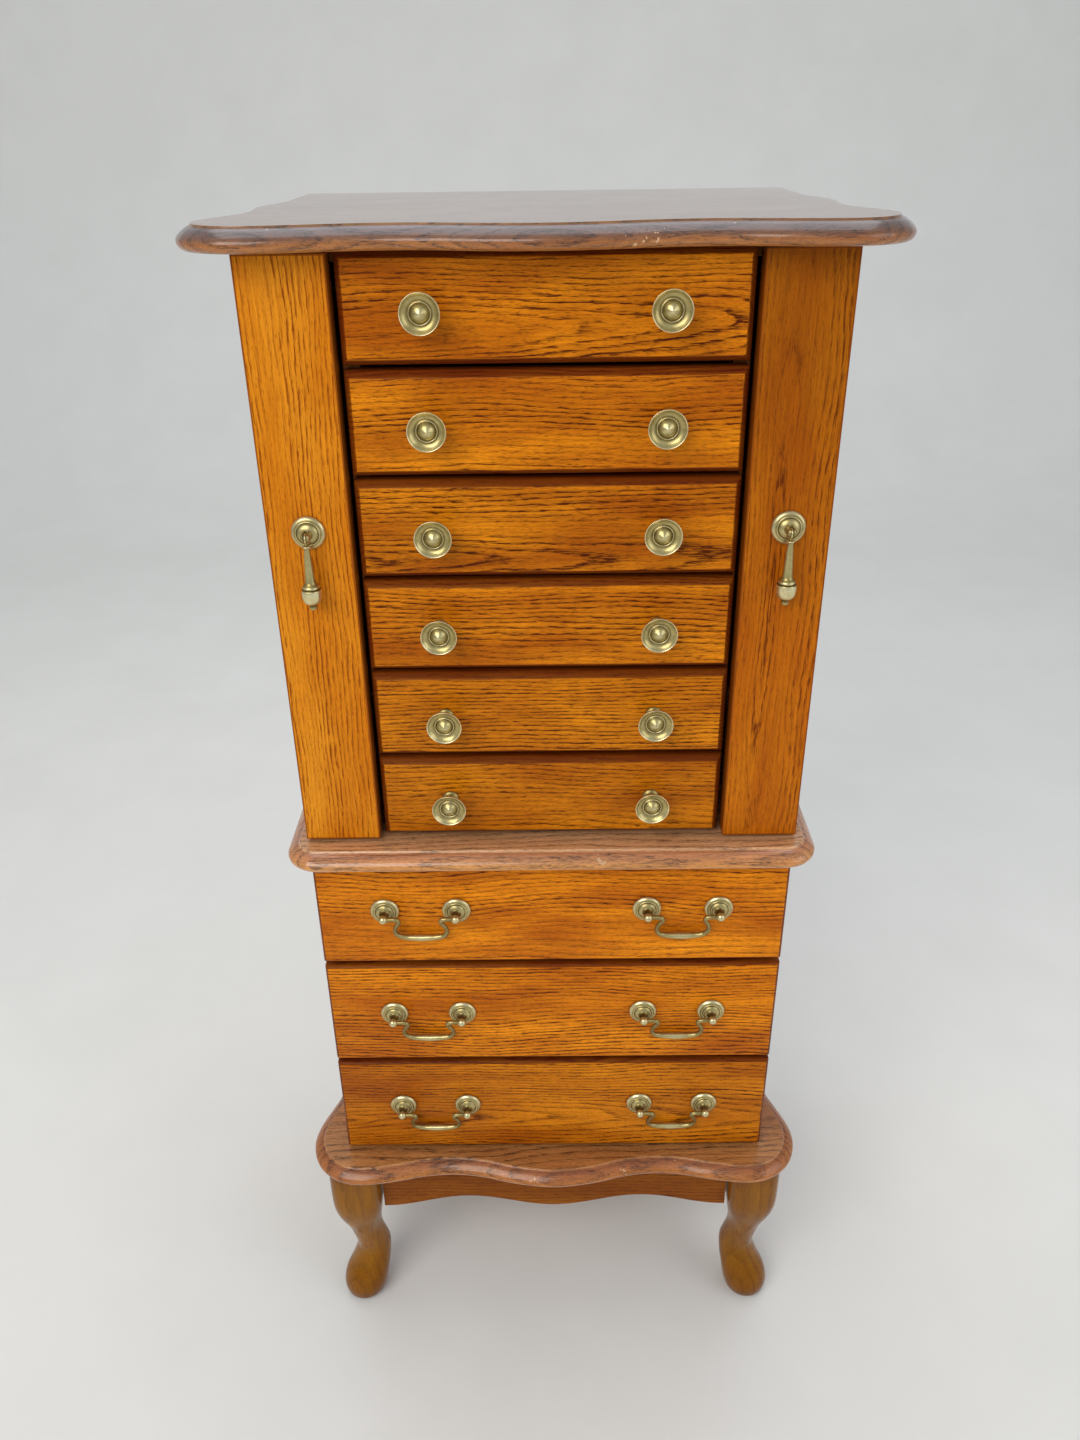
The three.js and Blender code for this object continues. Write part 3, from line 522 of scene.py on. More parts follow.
def rounded_front(low, high, radius=18, corner_steps=14, side_steps=8):
    """A straight-sided outline with rounded front corners."""
    half, front, back = high[0] - MOULDING_REACH, low[1] + MOULDING_REACH, high[1]
    right = []
    for i in range(corner_steps + 1):
        a = math.pi / 2 * i / corner_steps
        right.append((half - radius * (1 - math.sin(a)), front + radius * (1 - math.cos(a))))
    for i in range(1, side_steps + 1):
        right.append((half, front + radius + (back - front - radius) * i / side_steps))
    middle = [(half * 0.92 * (k / 6 - 1), front) for k in range(1, 12)]
    return [(-x, y) for x, y in right[::-1]] + middle + right


AMBER = rgb(178, 124, 66)
AMBER_LIGHT = rgb(198, 146, 88)
WAIST_TAN = rgb(232, 184, 126)
WAIST_TAN_LIGHT = rgb(244, 204, 152)
BASE_TAN = rgb(192, 138, 78)
BASE_TAN_LIGHT = rgb(212, 162, 100)
# Tints from the lower edge (0) to the flat top (1)
# The dark bluish band over the upper curve, from 0.5 to 0.93, is a painted sky reflection
LID_TINTS_WITH_PAINTED_REFLECTION = (
    (0, rgb(255, 226, 160)), (0.28, rgb(244, 208, 160)), (0.5, rgb(180, 160, 168)),
    (0.68, rgb(146, 146, 214)), (0.86, rgb(124, 126, 214)), (0.93, rgb(186, 172, 172)),
    (0.985, rgb(206, 196, 190)), (1, rgb(198, 188, 180)),
)
# Going up the edge the tint turns paler and pinker, with a darker band at 0.86: painted sheen over the upper
# curve
BASE_TINTS_WITH_PAINTED_SHEEN = (
    (0, rgb(255, 204, 110)), (0.3, rgb(250, 204, 124)), (0.5, rgb(236, 192, 140)),
    (0.72, rgb(230, 186, 156)), (0.86, rgb(204, 160, 142)), (0.93, rgb(246, 220, 206)),
    (0.985, rgb(248, 226, 216)), (1, rgb(240, 216, 206)),
)
# seed, outline, tints (with painted reflection and sheen), chips (spot, reach), haze, body and light
# colours, specular, coat
MOULDED = {
    "lid_board": (
        3.0, serpentine, LID_TINTS_WITH_PAINTED_REFLECTION, (((84, -164, 9), 24), ((62, -164, 7), 14), ((-196, -150, 4), 12)),
        0.42, AMBER, AMBER_LIGHT, 0.4, 0.7,
    ),
    "base_board": (
        8.0, serpentine, BASE_TINTS_WITH_PAINTED_SHEEN, (((-20, -169, 10), 16), ((70, -158, 12), 10)),
        0.25, BASE_TAN, BASE_TAN_LIGHT, 0.3, 0.6,
    ),
    "waist_board": (
        5.0, rounded_front, BASE_TINTS_WITH_PAINTED_SHEEN, (((40, -157, 9), 14),),
        0.7, WAIST_TAN, WAIST_TAN_LIGHT, 0.4, 1.0,
    ),
}
for node, (seed, shape, stops, chips, haze, body, light, spec, coat_amount) in MOULDED.items():
    low, high = span(node)
    material = wood(
        node + "_oak", "X", "Z", (0, 0, low[2]), seed, body=body, light=light, dark=rgb(52, 22, 6),
        spacing=5.5, pith=(70, 46), tilt=0.03, wave=22, streak=0.6, height=(0, high[2] - low[2], stops),
        chips=chips, roughness=(0.3, 0.48), coat=coat_amount, coat_rough=0.12, specular=spec,
        glint=(1, 1, 1, 1), haze=haze,
    )
    mesh = mesh_of(node + "_moulded", moulded(shape(low, high), low[2], high[2] - low[2]), material)
    piece(node + "_moulded", mesh, BODY[node], replaces=[node])

# ---- Cabriole legs ----
# (share of the height, shift outward, half width, squareness: 2 is round)
LEG_RINGS = (
    (0, 4, 15.5, 2), (0.012, 4, 18, 2), (0.04, 3.5, 21.8, 2), (0.09, 2.5, 23.6, 2), (0.15, 0, 23, 2),
    (0.225, -5, 20.2, 2), (0.31, -8, 17.8, 2), (0.38, -6.3, 17, 2), (0.44, -4.2, 16.8, 2),
    (0.5, -2.6, 17.3, 2.1), (0.56, -1.2, 19.4, 2.3), (0.62, -0.4, 22, 2.8), (0.69, 0, 24.2, 3.5),
    (0.78, 0.2, 25, 4.3), (1, 0, 25, 5),
)
# Tints from the floor (0) to the top of the knee (1)
LEG_STOPS = (
    (0, rgb(176, 150, 120)), (0.08, rgb(236, 224, 210)), (0.3, 1.0), (0.86, 1.0), (1, rgb(236, 220, 190)),
)
LEG_BLOCK = 50
APRON_GAP = 1.5


def cabriole(side_x, side_y, height, sides=64):
    """A leg that curves outward to its own corner."""
    verts = []
    rings = catmull(LEG_RINGS, 6)
    for share, shift, half, square in rings:
        for i in range(sides):
            a = 2 * math.pi * (i + 0.5) / sides
            x, y = math.cos(a), math.sin(a)
            reach = half * (abs(x) ** square + abs(y) ** square) ** (-1 / square)
            verts.append((x * reach + side_x * shift, y * reach + side_y * shift, share * height))
    return verts, skin(sides, len(rings)), None


for end, side_y in (("front", -1), ("back", 1)):
    for side, side_x in SIDES:
        node = f"leg_{end}_{side}"
        low, high = span(node)
        middle_x = span(f"apron_{end}")[1][0] + APRON_GAP + LEG_BLOCK / 2
        middle_y = span("apron_left")[1][1] + APRON_GAP + LEG_BLOCK / 2
        leg = cabriole(side_x, side_y, high[2])
        material = wood(
            node + "_wood", "Z", "Y", (0, 0, 100), 11 + side_x + 3 * side_y, body=rgb(132, 78, 1),
            light=rgb(152, 96, 4), dark=rgb(78, 38, 0), spacing=9, pith=(30, 60), tilt=0.03, wave=8,
            streak=0.4, pore=0.5, roughness=(0.16, 0.26), coat_rough=0.05, specular=0.42,
            height=(-100, high[2], LEG_STOPS),
        )
        piece(node + "_turned", mesh_of(node + "_turned", leg, material), "case",
              at=(side_x * middle_x, side_y * middle_y, 0), replaces=[node])


# ---- Aprons with a softened, scalloped lower edge ----
def apron(length, thickness, height, arch=14.5, steps=120, round_by=1.6):
    """Length along X, centred; the top is at z = 0."""
    outline = []
    for i in range(steps + 1):
        share = i / steps
        outline.append(((share - 0.5) * length, arch * math.sin(2 * math.pi * share) ** 2 - height))
    half, layers = thickness / 2, []
    for k in range(5):
        a = math.pi / 2 * k / 4
        layers.append((-half + round_by * (1 - math.sin(a)), round_by * (1 - math.cos(a))))
    layers = layers + [(-y, lift) for y, lift in layers[::-1]]
    layers = [(-half, round_by)] + layers[1:-1] + [(half, round_by)]
    n = 2 * (steps + 1)
    verts = []
    for y, lift in layers:
        verts += [(x, y, z + lift) for x, z in outline] + [(x, y, 0) for x, _ in outline[::-1]]
    faces = skin(n, len(layers), capped=False)
    for start in (0, (len(layers) - 1) * n):
        for i in range(steps):
            faces.append((start + i, start + i + 1, start + n - 2 - i, start + n - 1 - i))
    return verts, faces, None


for node, angle in (("apron_front", 0), ("apron_back", 0), ("apron_left", 90), ("apron_right", 90)):
    low, high = span(node)
    size = [b - a for a, b in zip(low, high)]
    length, thickness = (size[1], size[0]) if angle else (size[0], size[1])
    shape = moved(apron(length, thickness, size[2]), turn("Z", angle))
    grain, normal = ("Y", "X") if angle else ("X", "Y")
    material = wood(
        node + "_oak", grain, normal, (0, 0, -36), 21 + angle / 50, body=rgb(138, 70, 1),
        light=rgb(158, 88, 4), dark=rgb(76, 26, 0), spacing=5, pith=(60, 20), tilt=0.04, streak=0.7,
    )
    piece(node + "_scalloped", mesh_of(node + "_scalloped", shape, material), "case",
          at=((low[0] + high[0]) / 2, (low[1] + high[1]) / 2, high[2]), replaces=[node])

# ---- Drawer fronts, boxes and linings ----
# (back from the face, in from the outline)
SMALL_EDGE = (
    (7, 0), (6, 0.2), (5, 0.75), (3.6, 1.75), (2.2, 2.85), (1.1, 3.75), (0.5, 4.3), (0.15, 4.8), (0, 5.5),
)
LARGE_EDGE = ((4.5, 0), (3.4, 0.12), (2.3, 0.5), (1.4, 1.1), (0.7, 1.9), (0.25, 2.7), (0, 3.8))
BOX_WALL = 8
BOX_BOTTOM = 5
SIDE_CLEARANCE = 1.2
RUNNER_REACH = 10
FELT = 1.2
DIVIDER = 3


def front_board(width, height, thickness, edge):
    """Its face is at y = 0 and its lower edge at z = 0."""
    corner = 1.2
    points, outward = [], []
    for side_x, side_z, start in ((1, -1, -90), (1, 1, 0), (-1, 1, 90), (-1, -1, 180)):
        x, z = side_x * (width / 2 - corner), side_z * (height / 2 - corner)
        for k in range(4):
            a = math.radians(start + 30 * k)
            points.append((x + corner * math.cos(a), z + corner * math.sin(a)))
            outward.append((side_x, side_z))
    rings = [(0, -0.4), (0.4, 0)] + [(thickness - d, -inset) for d, inset in edge]
    return moved(slab(points, outward, rings), turn("X", 90, (0, thickness, height / 2)))


def drawer_box(width, length, height, lift, start):
    """Sides, back and bottom of a drawer box, behind a front whose back is at y = start."""
    half, end = width / 2, start + length
    low, top = lift, lift + height
    inner, groove = half - BOX_WALL, 2
    left = board((-half, start, low), (-inner, end, top))
    right = board((inner, start, low), (half, end, top))
    back = board((-inner, end - BOX_WALL, low + 1), (inner, end - 0.4, top - 1.5))
    bottom_corner = (inner + groove, end - BOX_WALL + groove, low + BOX_BOTTOM)
    bottom = board((-inner - groove, start, low + 1), bottom_corner, 0.4)
    return together(left, right, back, bottom)


def lining(width, length, floor, start, walls, rows, columns):
    """A flocked floor with a thin wall lining all round, and compartment dividers."""
    half, end = width / 2 - BOX_WALL, start + length - BOX_WALL
    low, dividers = floor + 1, floor + walls * 0.75
    parts = [board((-half + 0.3, start + 0.3, floor), (half - 0.3, end - 0.3, floor + FELT), 0.3)]
    for x in (-half + 1, half - 1):
        parts.append(board((x - FELT / 2, start + 0.5, low), (x + FELT / 2, end - 0.5, floor + walls), 0.3))
    for y in (start + 1, end - 1):
        parts.append(board((-half + 0.5, y - FELT / 2, low), (half - 0.5, y + FELT / 2, floor + walls), 0.3))
    for k in range(1, columns):
        x = -half + 2 * half * k / columns
        parts.append(board((x - DIVIDER / 2, start + 1, low), (x + DIVIDER / 2, end - 1, dividers), 0.7))
    for k in range(1, rows):
        y = start + (end - start) * k / rows
        parts.append(board((-half + 1, y - DIVIDER / 2, low), (half - 1, y + DIVIDER / 2, dividers), 0.7))
    return together(*parts)


INNER_OAK = wood(
    "drawer_side_wood", "Y", "X", (0, 0, 30), 31, body=rgb(196, 146, 84), light=rgb(210, 164, 104),
    dark=rgb(128, 84, 40), spacing=6, pith=(90, 30), streak=0.4, roughness=(0.45, 0.6), coat=0.1,
)
# seed, pith across and behind, tilt, ring spacing, waviness, tone
SMALL_FIGURE = {
    "tray_front": (41.0, (12, 10), 0.08, 3.9, 16, 1.0),
    "small_drawer_1": (42.6, (70, 24), 0.03, 3.8, 12, 1.0),
    "small_drawer_2": (43.3, (24, 12), 0.05, 4.2, 14, 0.93),
    "small_drawer_3": (44.9, (56, 30), 0.04, 3.6, 18, 0.98),
    "small_drawer_4": (45.7, (84, 20), 0.02, 3.7, 11, 0.9),
    "small_drawer_5": (46.2, (48, 26), 0.05, 3.8, 14, 0.86),
}
LARGE_FIGURE = {
    "large_drawer_1": (51.4, (96, 44), 0.03, 4.8, 20, 1.14),
    "large_drawer_2": (52.8, (104, 36), 0.02, 4.0, 16, 1.12),
    "large_drawer_3": (53.5, (20, 14), 0.06, 4.2, 18, 0.88),
}
# rows and columns of compartments; the tray front has no box
SMALL_COMPARTMENTS = (None, (3, 4), (2, 3), (1, 3), (2, 2), (1, 2))
LARGE_COMPARTMENTS = ((1, 2), (1, 1), (1, 1))


def front_wood(node, width, height, bevel, figure):
    """Oak with its grain across a drawer front, stained dark round its bevel, with a painted highlight along
    the arris.
    """
    seed, pith, tilt, spacing, wave, shade = figure
    return wood(
        node + "_oak", "X", "Y", (0, 0, height / 2), seed, body=tone(rgb(214, 110, 8), 0.76 * shade),
        light=tone(rgb(244, 146, 18), 1.02 * shade), dark=tone(rgb(80, 24, 0), shade), spacing=spacing,
        pith=pith, tilt=tilt, wave=wave, edge=(width / 2, height / 2, bevel, BEVEL),
    )


upper_inner = span("upper_wall_right")[0][0] + RUNNER_REACH
lower_inner = span("lower_side_right")[0][0] + RUNNER_REACH
for figures, thickness, edge, bevel, box_height, lift, inner, layouts in (
    (SMALL_FIGURE, 18, SMALL_EDGE, 4.6, 56, 8, upper_inner, SMALL_COMPARTMENTS),
    (LARGE_FIGURE, 20, LARGE_EDGE, 2.6, 90, 12, lower_inner, LARGE_COMPARTMENTS),
):
    for (node, figure), compartments in zip(figures.items(), layouts):
        low, high = span(node)
        width, height = high[0] - low[0], high[2] - low[2]
        at = (0, low[1], low[2])
        shape = front_board(width, height, thickness, edge)
        mesh = mesh_of(node + "_front", shape, front_wood(node, width, height, bevel, figure))
        piece(node + "_front", mesh, BODY[node], at=at, replaces=[node])
        if compartments is None:
            continue
        box_width, length = 2 * (inner - SIDE_CLEARANCE), high[1] - low[1] - thickness
        box = drawer_box(box_width, length, box_height, lift, thickness)
        piece(node + "_box", mesh_of(node + "_box", box, INNER_OAK), BODY[node], at=at)
        felt = lining(box_width, length, lift + BOX_BOTTOM, thickness, box_height * 0.55, *compartments)
        piece(node + "_lining", mesh_of(node + "_lining", felt, VELVET), BODY[node], at=at)

# ---- Side doors: stile and panel ----
DOOR_FIGURE = {
    "left": dict(seed=61.0, pith=(150, 60), tilt=0.012, spacing=3.6, wave=12, body=tone(HONEY, 1.12),
                 light=tone(HONEY_LIGHT, 1.08), dark=rgb(140, 64, 2), pore=0.8),
    # The right door's darker colours, and its drift that darkens it further towards the top, are painted
    # shade
    "right": dict(seed=66.5, pith=(6, 10), tilt=0.045, spacing=3.9, wave=20,
                  body=tone(rgb(206, 104, 6), 0.78), light=tone(rgb(226, 128, 14), 0.84),
                  dark=rgb(112, 46, 1), pore=0.8, drift=("Z", -60, 234, 0.62)),
}


def dress(node, material, width=1.0, segments=3):
    """Gives a CAD node its material and softened edges."""
    obj = frame["nodes"][node]
    obj.data.materials.clear()
    obj.data.materials.append(material)
    bevel = obj.modifiers.new("softened_edges", "BEVEL")
    bevel.width = width * MM
    bevel.segments = segments
    bevel.limit_method = "ANGLE"
    bevel.angle_limit = math.radians(40)
    bevel.harden_normals = True


for side, _ in SIDES:
    for part, normal in (("door_stile", "Y"), ("door_panel", "X")):
        node = f"{part}_{side}"
        low, high = span(node)
        centre = [(a + b) / 2 for a, b in zip(low, high)]
        figure = dict(DOOR_FIGURE[side])
        if part == "door_panel":
            figure.update(seed=figure["seed"] + 2, pith=(40, 18), tilt=0.03)
        edge = None
        if part == "door_stile":
            edge = ((high[2] - low[2]) / 2, (high[0] - low[0]) / 2, 1.2, rgb(132, 62, 10))
        dress(node, wood(node + "_oak", "Z", normal, centre, edge=edge, **figure), 1.4)

# ---- Fixed case and mirror frame: body, light and dark colours ----
OUTSIDE = (HONEY, HONEY_LIGHT, STREAK)
INSIDE = (rgb(150, 84, 26), rgb(170, 102, 38), rgb(90, 44, 12))
BEHIND = (rgb(162, 96, 34), rgb(178, 112, 46), rgb(98, 52, 16))
for node, grain, normal, (body, light, dark) in (
    ("lower_side_left", "Z", "X", OUTSIDE), ("lower_side_right", "Z", "X", OUTSIDE),
    ("upper_wall_left", "Z", "X", INSIDE), ("upper_wall_right", "Z", "X", INSIDE),
    ("upper_back", "Z", "Y", BEHIND), ("lower_back", "Z", "Y", BEHIND),
    ("tray", "X", "Z", INSIDE), ("mirror_frame", "X", "Z", (tone(HONEY, 0.8), HONEY_LIGHT, STREAK)),
):
    low, high = span(node)
    centre = [(a + b) / 2 for a, b in zip(low, high)]
    dress(node, wood(
        node + "_wood", grain, normal, centre, 71 + len(node) + centre[0] / 100, body, light, dark,
        spacing=6.5, pith=(30, 24), tilt=0.03, wave=18, streak=0.7, roughness=(0.36, 0.52), coat=0.2,
    ), 0.8)
dress("mirror", mirror_glass("mirror_glass"), 1.2)

# ---- Turned brass: (radius, distance along the axis, wear) ----
KNOB = catmull((
    (0, 21.6, 0.75), (1.2, 21.2, 0.7), (2.8, 20.4, 0.6), (4.4, 19.4, 0.55), (5.6, 18.2, 0.5),
    (6.3, 17.3, 0.3), (6.7, 17.2, 0.15), (7.1, 17.7, 0.7), (7.5, 18.1, 1.0), (7.9, 17.7, 0.7),
    (8.3, 17.2, 0.2), (9.4, 17.3, 0.45), (11.0, 18.0, 0.55), (12.4, 19.2, 0.6), (13.3, 20.3, 0.8),
    (13.8, 20.6, 1.0), (14, 20.0, 0.9), (13.8, 18.6, 0.5), (12.2, 16.2, 0.4), (9.4, 13.6, 0.3),
    (6.2, 11.4, 0.25), (4.5, 9.2, 0.3), (4.2, 6.5, 0.35), (4.4, 4.4, 0.3), (5.2, 2.8, 0.3),
    (6.6, 1.6, 0.35), (7, 0.9, 0.4), (7, 0, 0.2),
), 3) + [[0, 0, 0.2]]
ROSETTE = catmull((
    (0, 7.0, 0.6), (2.6, 6.9, 0.6), (4.8, 6.5, 0.6), (6.6, 5.7, 0.55), (7.6, 4.9, 0.45), (8.0, 4.4, 0.2),
    (8.4, 4.3, 0.25), (8.8, 4.5, 0.7), (9.3, 4.4, 0.7), (9.7, 4.0, 0.3), (10.2, 3.9, 0.5), (11.4, 3.5, 0.7),
    (12.4, 2.6, 0.85), (13.0, 1.5, 0.7), (13.0, 0.5, 0.4), (12.8, 0, 0.2),
), 3) + [[0, 0, 0.2]]
PENDANT = catmull((
    (0, 57, 0.7), (1.4, 56.9, 0.8), (2.5, 56.2, 0.7), (2.9, 55, 0.5), (2.9, 52.8, 0.1), (3.6, 52.2, 0.3),
    (5.4, 51.4, 0.6), (6.8, 49.4, 0.7), (7.6, 46.4, 0.8), (7.7, 42.8, 0.85), (7.6, 40.8, 0.8),
    (7.2, 40.1, 0.3), (6.2, 39.7, 0.1), (6.6, 38.8, 0.7), (6.4, 37.8, 0.7), (5.6, 36.8, 0.4),
    (4.4, 35.2, 0.4), (3.8, 32, 0.5), (3.2, 24, 0.6), (2.6, 14, 0.6), (2.1, 8.4, 0.5), (2.2, 7.8, 0.3),
    (2.9, 7.2, 0.8), (2.9, 6.5, 0.8), (1.6, 5.7, 0.3), (0.95, 4.9, 0.3), (0.9, 3.4, 0.4),
), 3)
BALL_POST = catmull((
    (0, 18.3, 0.85), (1.9, 17.7, 0.8), (3.4, 16.3, 0.7), (4.0, 14.4, 0.6), (3.7, 12.6, 0.35),
    (3.0, 11.2, 0.1), (3.1, 10.0, 0.12), (3.4, 8.8, 0.15), (3.9, 7.6, 0.2), (4.8, 6.6, 0.35),
), 3) + [[5.2, 5.4, 0.4], [0, 5.4, 0.2]]

knob_mesh = mesh_of("turned_knob", lathe(KNOB), BRASS, 60)
knob_mesh_worn = mesh_of("turned_knob_rubbed", lathe(KNOB), BRASS_WORN, 60)
RUBBED_EVERY = 3
for index, node in enumerate(sorted(n for n in frame["nodes"] if n.startswith("knob_"))):
    low, high = span(node)
    mesh = knob_mesh if index % RUBBED_EVERY else knob_mesh_worn
    piece(node + "_turned", mesh, BODY[node],
          at=((low[0] + high[0]) / 2, high[1], (low[2] + high[2]) / 2), replaces=[node])


def halves(geometry, gap):
    """The geometry with a slot of that width sawn through it along X = 0."""
    parts = []
    for sign in (-1, 1):
        bm = bmesh.new()
        made = [bm.verts.new(v) for v in geometry[0]]
        for f in geometry[1]:
            bm.faces.new([made[i] for i in f])
        plane = dict(plane_co=(sign * gap / 2, 0, 0), plane_no=(-sign, 0, 0), clear_outer=True)
        cut = bmesh.ops.bisect_plane(bm, geom=bm.verts[:] + bm.edges[:] + bm.faces[:], dist=1e-5, **plane)
        bmesh.ops.holes_fill(bm, edges=[e for e in cut["geom_cut"] if isinstance(e, bmesh.types.BMEdge)])
        bm.verts.index_update()
        parts.append(geometry_of(bm))
    return together(*parts)


SLOTTED_POST = catmull((
    (0, 16.6, 0.8), (1.6, 16.3, 0.8), (3.0, 15.3, 0.7), (3.7, 13.8, 0.6), (3.8, 12.2, 0.5), (3.8, 8.5, 0.4),
    (4.0, 7.2, 0.3), (4.6, 6.2, 0.2),
), 3) + [[4.6, 5.2, 0.2], [0, 5.2, 0.2]]
POST_SLOT = 2.8
EYE_RADIUS = 2.9
EYE_WIRE = 0.95
EYE_STEPS = 30
EYE_BELOW_TOP = 0.6
for side, _ in SIDES:
    low, high = span(f"rosette_{side}")
    x = (low[0] + high[0]) / 2
    name = f"rosette_{side}_with_post"
    shape = together(lathe(ROSETTE), halves(lathe(SLOTTED_POST, 32), POST_SLOT))
    piece(name, mesh_of(name, shape, BRASS, 50), f"door_{side}",
          at=(x, high[1], (low[2] + high[2]) / 2), replaces=[f"rosette_{side}"])
    low, high = span(f"pendant_{side}")
    turns = [math.pi * 2 * k / EYE_STEPS for k in range(EYE_STEPS + 1)]
    eye = [(0, EYE_RADIUS * math.sin(a), EYE_RADIUS * math.cos(a) - EYE_BELOW_TOP) for a in turns]
    name = f"pendant_{side}_drop"
    shape = together(moved(lathe(PENDANT, 40), turn("X", 90)), tube(eye, [EYE_WIRE] * len(eye), 12))
    piece(name, mesh_of(name, shape, BRASS_WORN, 50), f"drop_{side}",
          at=(x, (low[1] + high[1]) / 2, high[2]), replaces=[f"pendant_{side}"])

# ---- Bail pulls ----
# (share of the half spacing, share of the drop, radius)
BAIL_POINTS = (
    (0.95, 0, 1.7), (0.84, 0.0, 1.95), (0.7, 0, 2.15), (0.61, 0.05, 2.3), (0.6, 0.2, 2.25), (0.7, 0.45, 2.0),
    (0.72, 0.72, 2.2), (0.62, 0.92, 2.35), (0.42, 1, 2.65), (0.2, 1.02, 3.05), (0, 1.03, 3.2),
)
BAIL_HALF = 32
BAIL_DROP = 29
BAIL_LEAN = math.radians(19)
path = [
    (x * BAIL_HALF, fall * BAIL_DROP * math.sin(BAIL_LEAN), -fall * BAIL_DROP * math.cos(BAIL_LEAN), r)
    for x, fall, r in BAIL_POINTS
]
path = catmull(path + [(-x, y, z, r) for x, y, z, r in path[-2::-1]], 6)
bail_mesh = mesh_of("swinging_bail", tube([p[:3] for p in path], [p[3] for p in path]), BRASS, 60)
bail_rosette = mesh_of("bail_rosette", together(lathe(ROSETTE), lathe(BALL_POST, 36)), BRASS, 50)
for joint in (j for j in frame["joints"] if j["child"].startswith("bail_")):
    x, y, z = [c / MM for c in joint["pos_m"]]
    face = span(joint["parent"])[0][1]
    node = joint["child"]
    piece(node + "_rod", bail_mesh, node, at=(x, y, z), replaces=[node])
    for end, sign in SIDES:
        piece(f"{node}_rosette_{end}", bail_rosette, joint["parent"],
              at=(x + sign * BAIL_HALF, face, z))

# ---- Hinges ----
def screw_head(radius=2.2):
    """A countersunk head facing -Y."""
    crown = ((0, 0.25, 0.4), (0.5 * radius, 0.3, 0.6), (radius, 0.1, 0.8))
    return lathe(crown + ((radius * 1.1, -0.1, 0.3), (0, -0.1, 0.2)), 20)


def barrel(length, radius, knuckles):
    """A hinge barrel along Z, with a groove between knuckles."""
    profile = [(0, -length / 2, 0.5), (radius - 0.3, -length / 2, 0.6)]
    for k in range(knuckles):
        a, b = length * (k / knuckles - 0.5), length * ((k + 1) / knuckles - 0.5)
        profile += [(radius - 0.4, a + 0.15, 0.1), (radius, a + 0.5, 0.8)]
        profile += [(radius, b - 0.5, 0.8), (radius - 0.4, b - 0.15, 0.1)]
    profile += [(radius - 0.3, length / 2, 0.6), (0, length / 2, 0.5)]
    return moved(lathe(profile, 28), turn("X", -90))


DOOR_PIN_RADIUS = 2.5
DOOR_LEAF = 12
for side, sign in SIDES:
    node = f"door_hinge_{side}"
    low, high = span(node)
    x, y, z = [(a + b) / 2 for a, b in zip(low, high)]
    edge_y = span(f"door_panel_{side}")[1][1]
    near = x - sign * DOOR_PIN_RADIUS
    left, right = sorted((near, near - sign * DOOR_LEAF))
    leaf = board((left, edge_y, low[2]), (right, edge_y + 0.55, high[2]), 0.15)
    pin = moved(barrel(high[2] - low[2], DOOR_PIN_RADIUS, 22), Matrix.Translation((x, y, z)))
    mesh = mesh_of(node + "_knuckled", together(pin, leaf), BRASS, 40)
    piece(node + "_knuckled", mesh, BODY[node], replaces=[node])

LID_LEAF_FRONT = 141
LID_HINGE_SCREWS = ((-13, 7), (0, 11), (13, 7))
axis_y, axis_z = [c / MM for c in next(j for j in frame["joints"] if j["child"] == "lid")["pos_m"][1:]]
lid_underside = span("lid_board")[0][2]
backward_screw = moved(screw_head(), turn("Z", 180))
for side, _ in SIDES:
    node = f"lid_hinge_{side}"
    low, high = span(node)
    middle, back = (low[0] + high[0]) / 2, low[1]
    pin = moved(barrel(high[0] - low[0], 3, 5), turn("Y", 90, (middle, axis_y, axis_z)))
    leaf = board((low[0], back, low[2]), (high[0], back + 1.2, axis_z), 0.3)
    neck = board((low[0], back, axis_z - 1.5), (high[0], axis_y, axis_z), 0.3)
    heads = [
        moved(backward_screw, Matrix.Translation((middle + dx, back + 1.25, low[2] + dz)))
        for dx, dz in LID_HINGE_SCREWS
    ]
    mesh = mesh_of(node + "_knuckled", together(pin, leaf, neck, *heads), BRASS, 40)
    piece(node + "_knuckled", mesh, "case", replaces=[node])
    plate = board((low[0], LID_LEAF_FRONT, lid_underside - 0.5), (high[0], axis_y - 1, lid_underside), 0.15)
    mesh = mesh_of(node + "_lid_leaf", plate, BRASS, 40)
    piece(node + "_lid_leaf", mesh, "lid")

# ---- Necklace hooks on the door rails, and the linings below them ----
HOOKS = 7
FIRST_HOOK_Y = -73
HOOKS_OVER = 180
HOOK_BELOW_TOP = 38
RAIL_REACH = 12
LINING_FRONT, LINING_BACK = -108, 140
LINING_ABOVE_BOTTOM, LINING_BELOW_TOP = 8, 52
HOOK_ARC = catmull((
    (0, 0, 0), (-4, 0, -0.4), (-7.5, 0, -2.6), (-10, 0, -5.4), (-12.6, 0, -5.6), (-14.2, 0, -3.2),
    (-14.4, 0, 0.4),
), 5)
HOOK_PLATE = catmull(((0, 1.6, 0.7), (2, 1.5, 0.7), (3.6, 0.9, 0.6), (4, 0.3, 0.3), (4, 0, 0.2)), 3)
HOOK_PLATE += [[0, 0, 0.2]]
HOOK_TIP = catmull(((0, 1.7, 0.8), (1.2, 1.2, 0.8), (1.7, 0, 0.7), (1.2, -1.2, 0.5), (0, -1.7, 0.4)), 4)
hook = together(
    tube(HOOK_ARC, [1.15] * len(HOOK_ARC), 14), moved(lathe(HOOK_PLATE, 24), turn("Z", -90)),
    moved(lathe(HOOK_TIP, 18), Matrix.Translation((-14.4, 0, 1))),
)
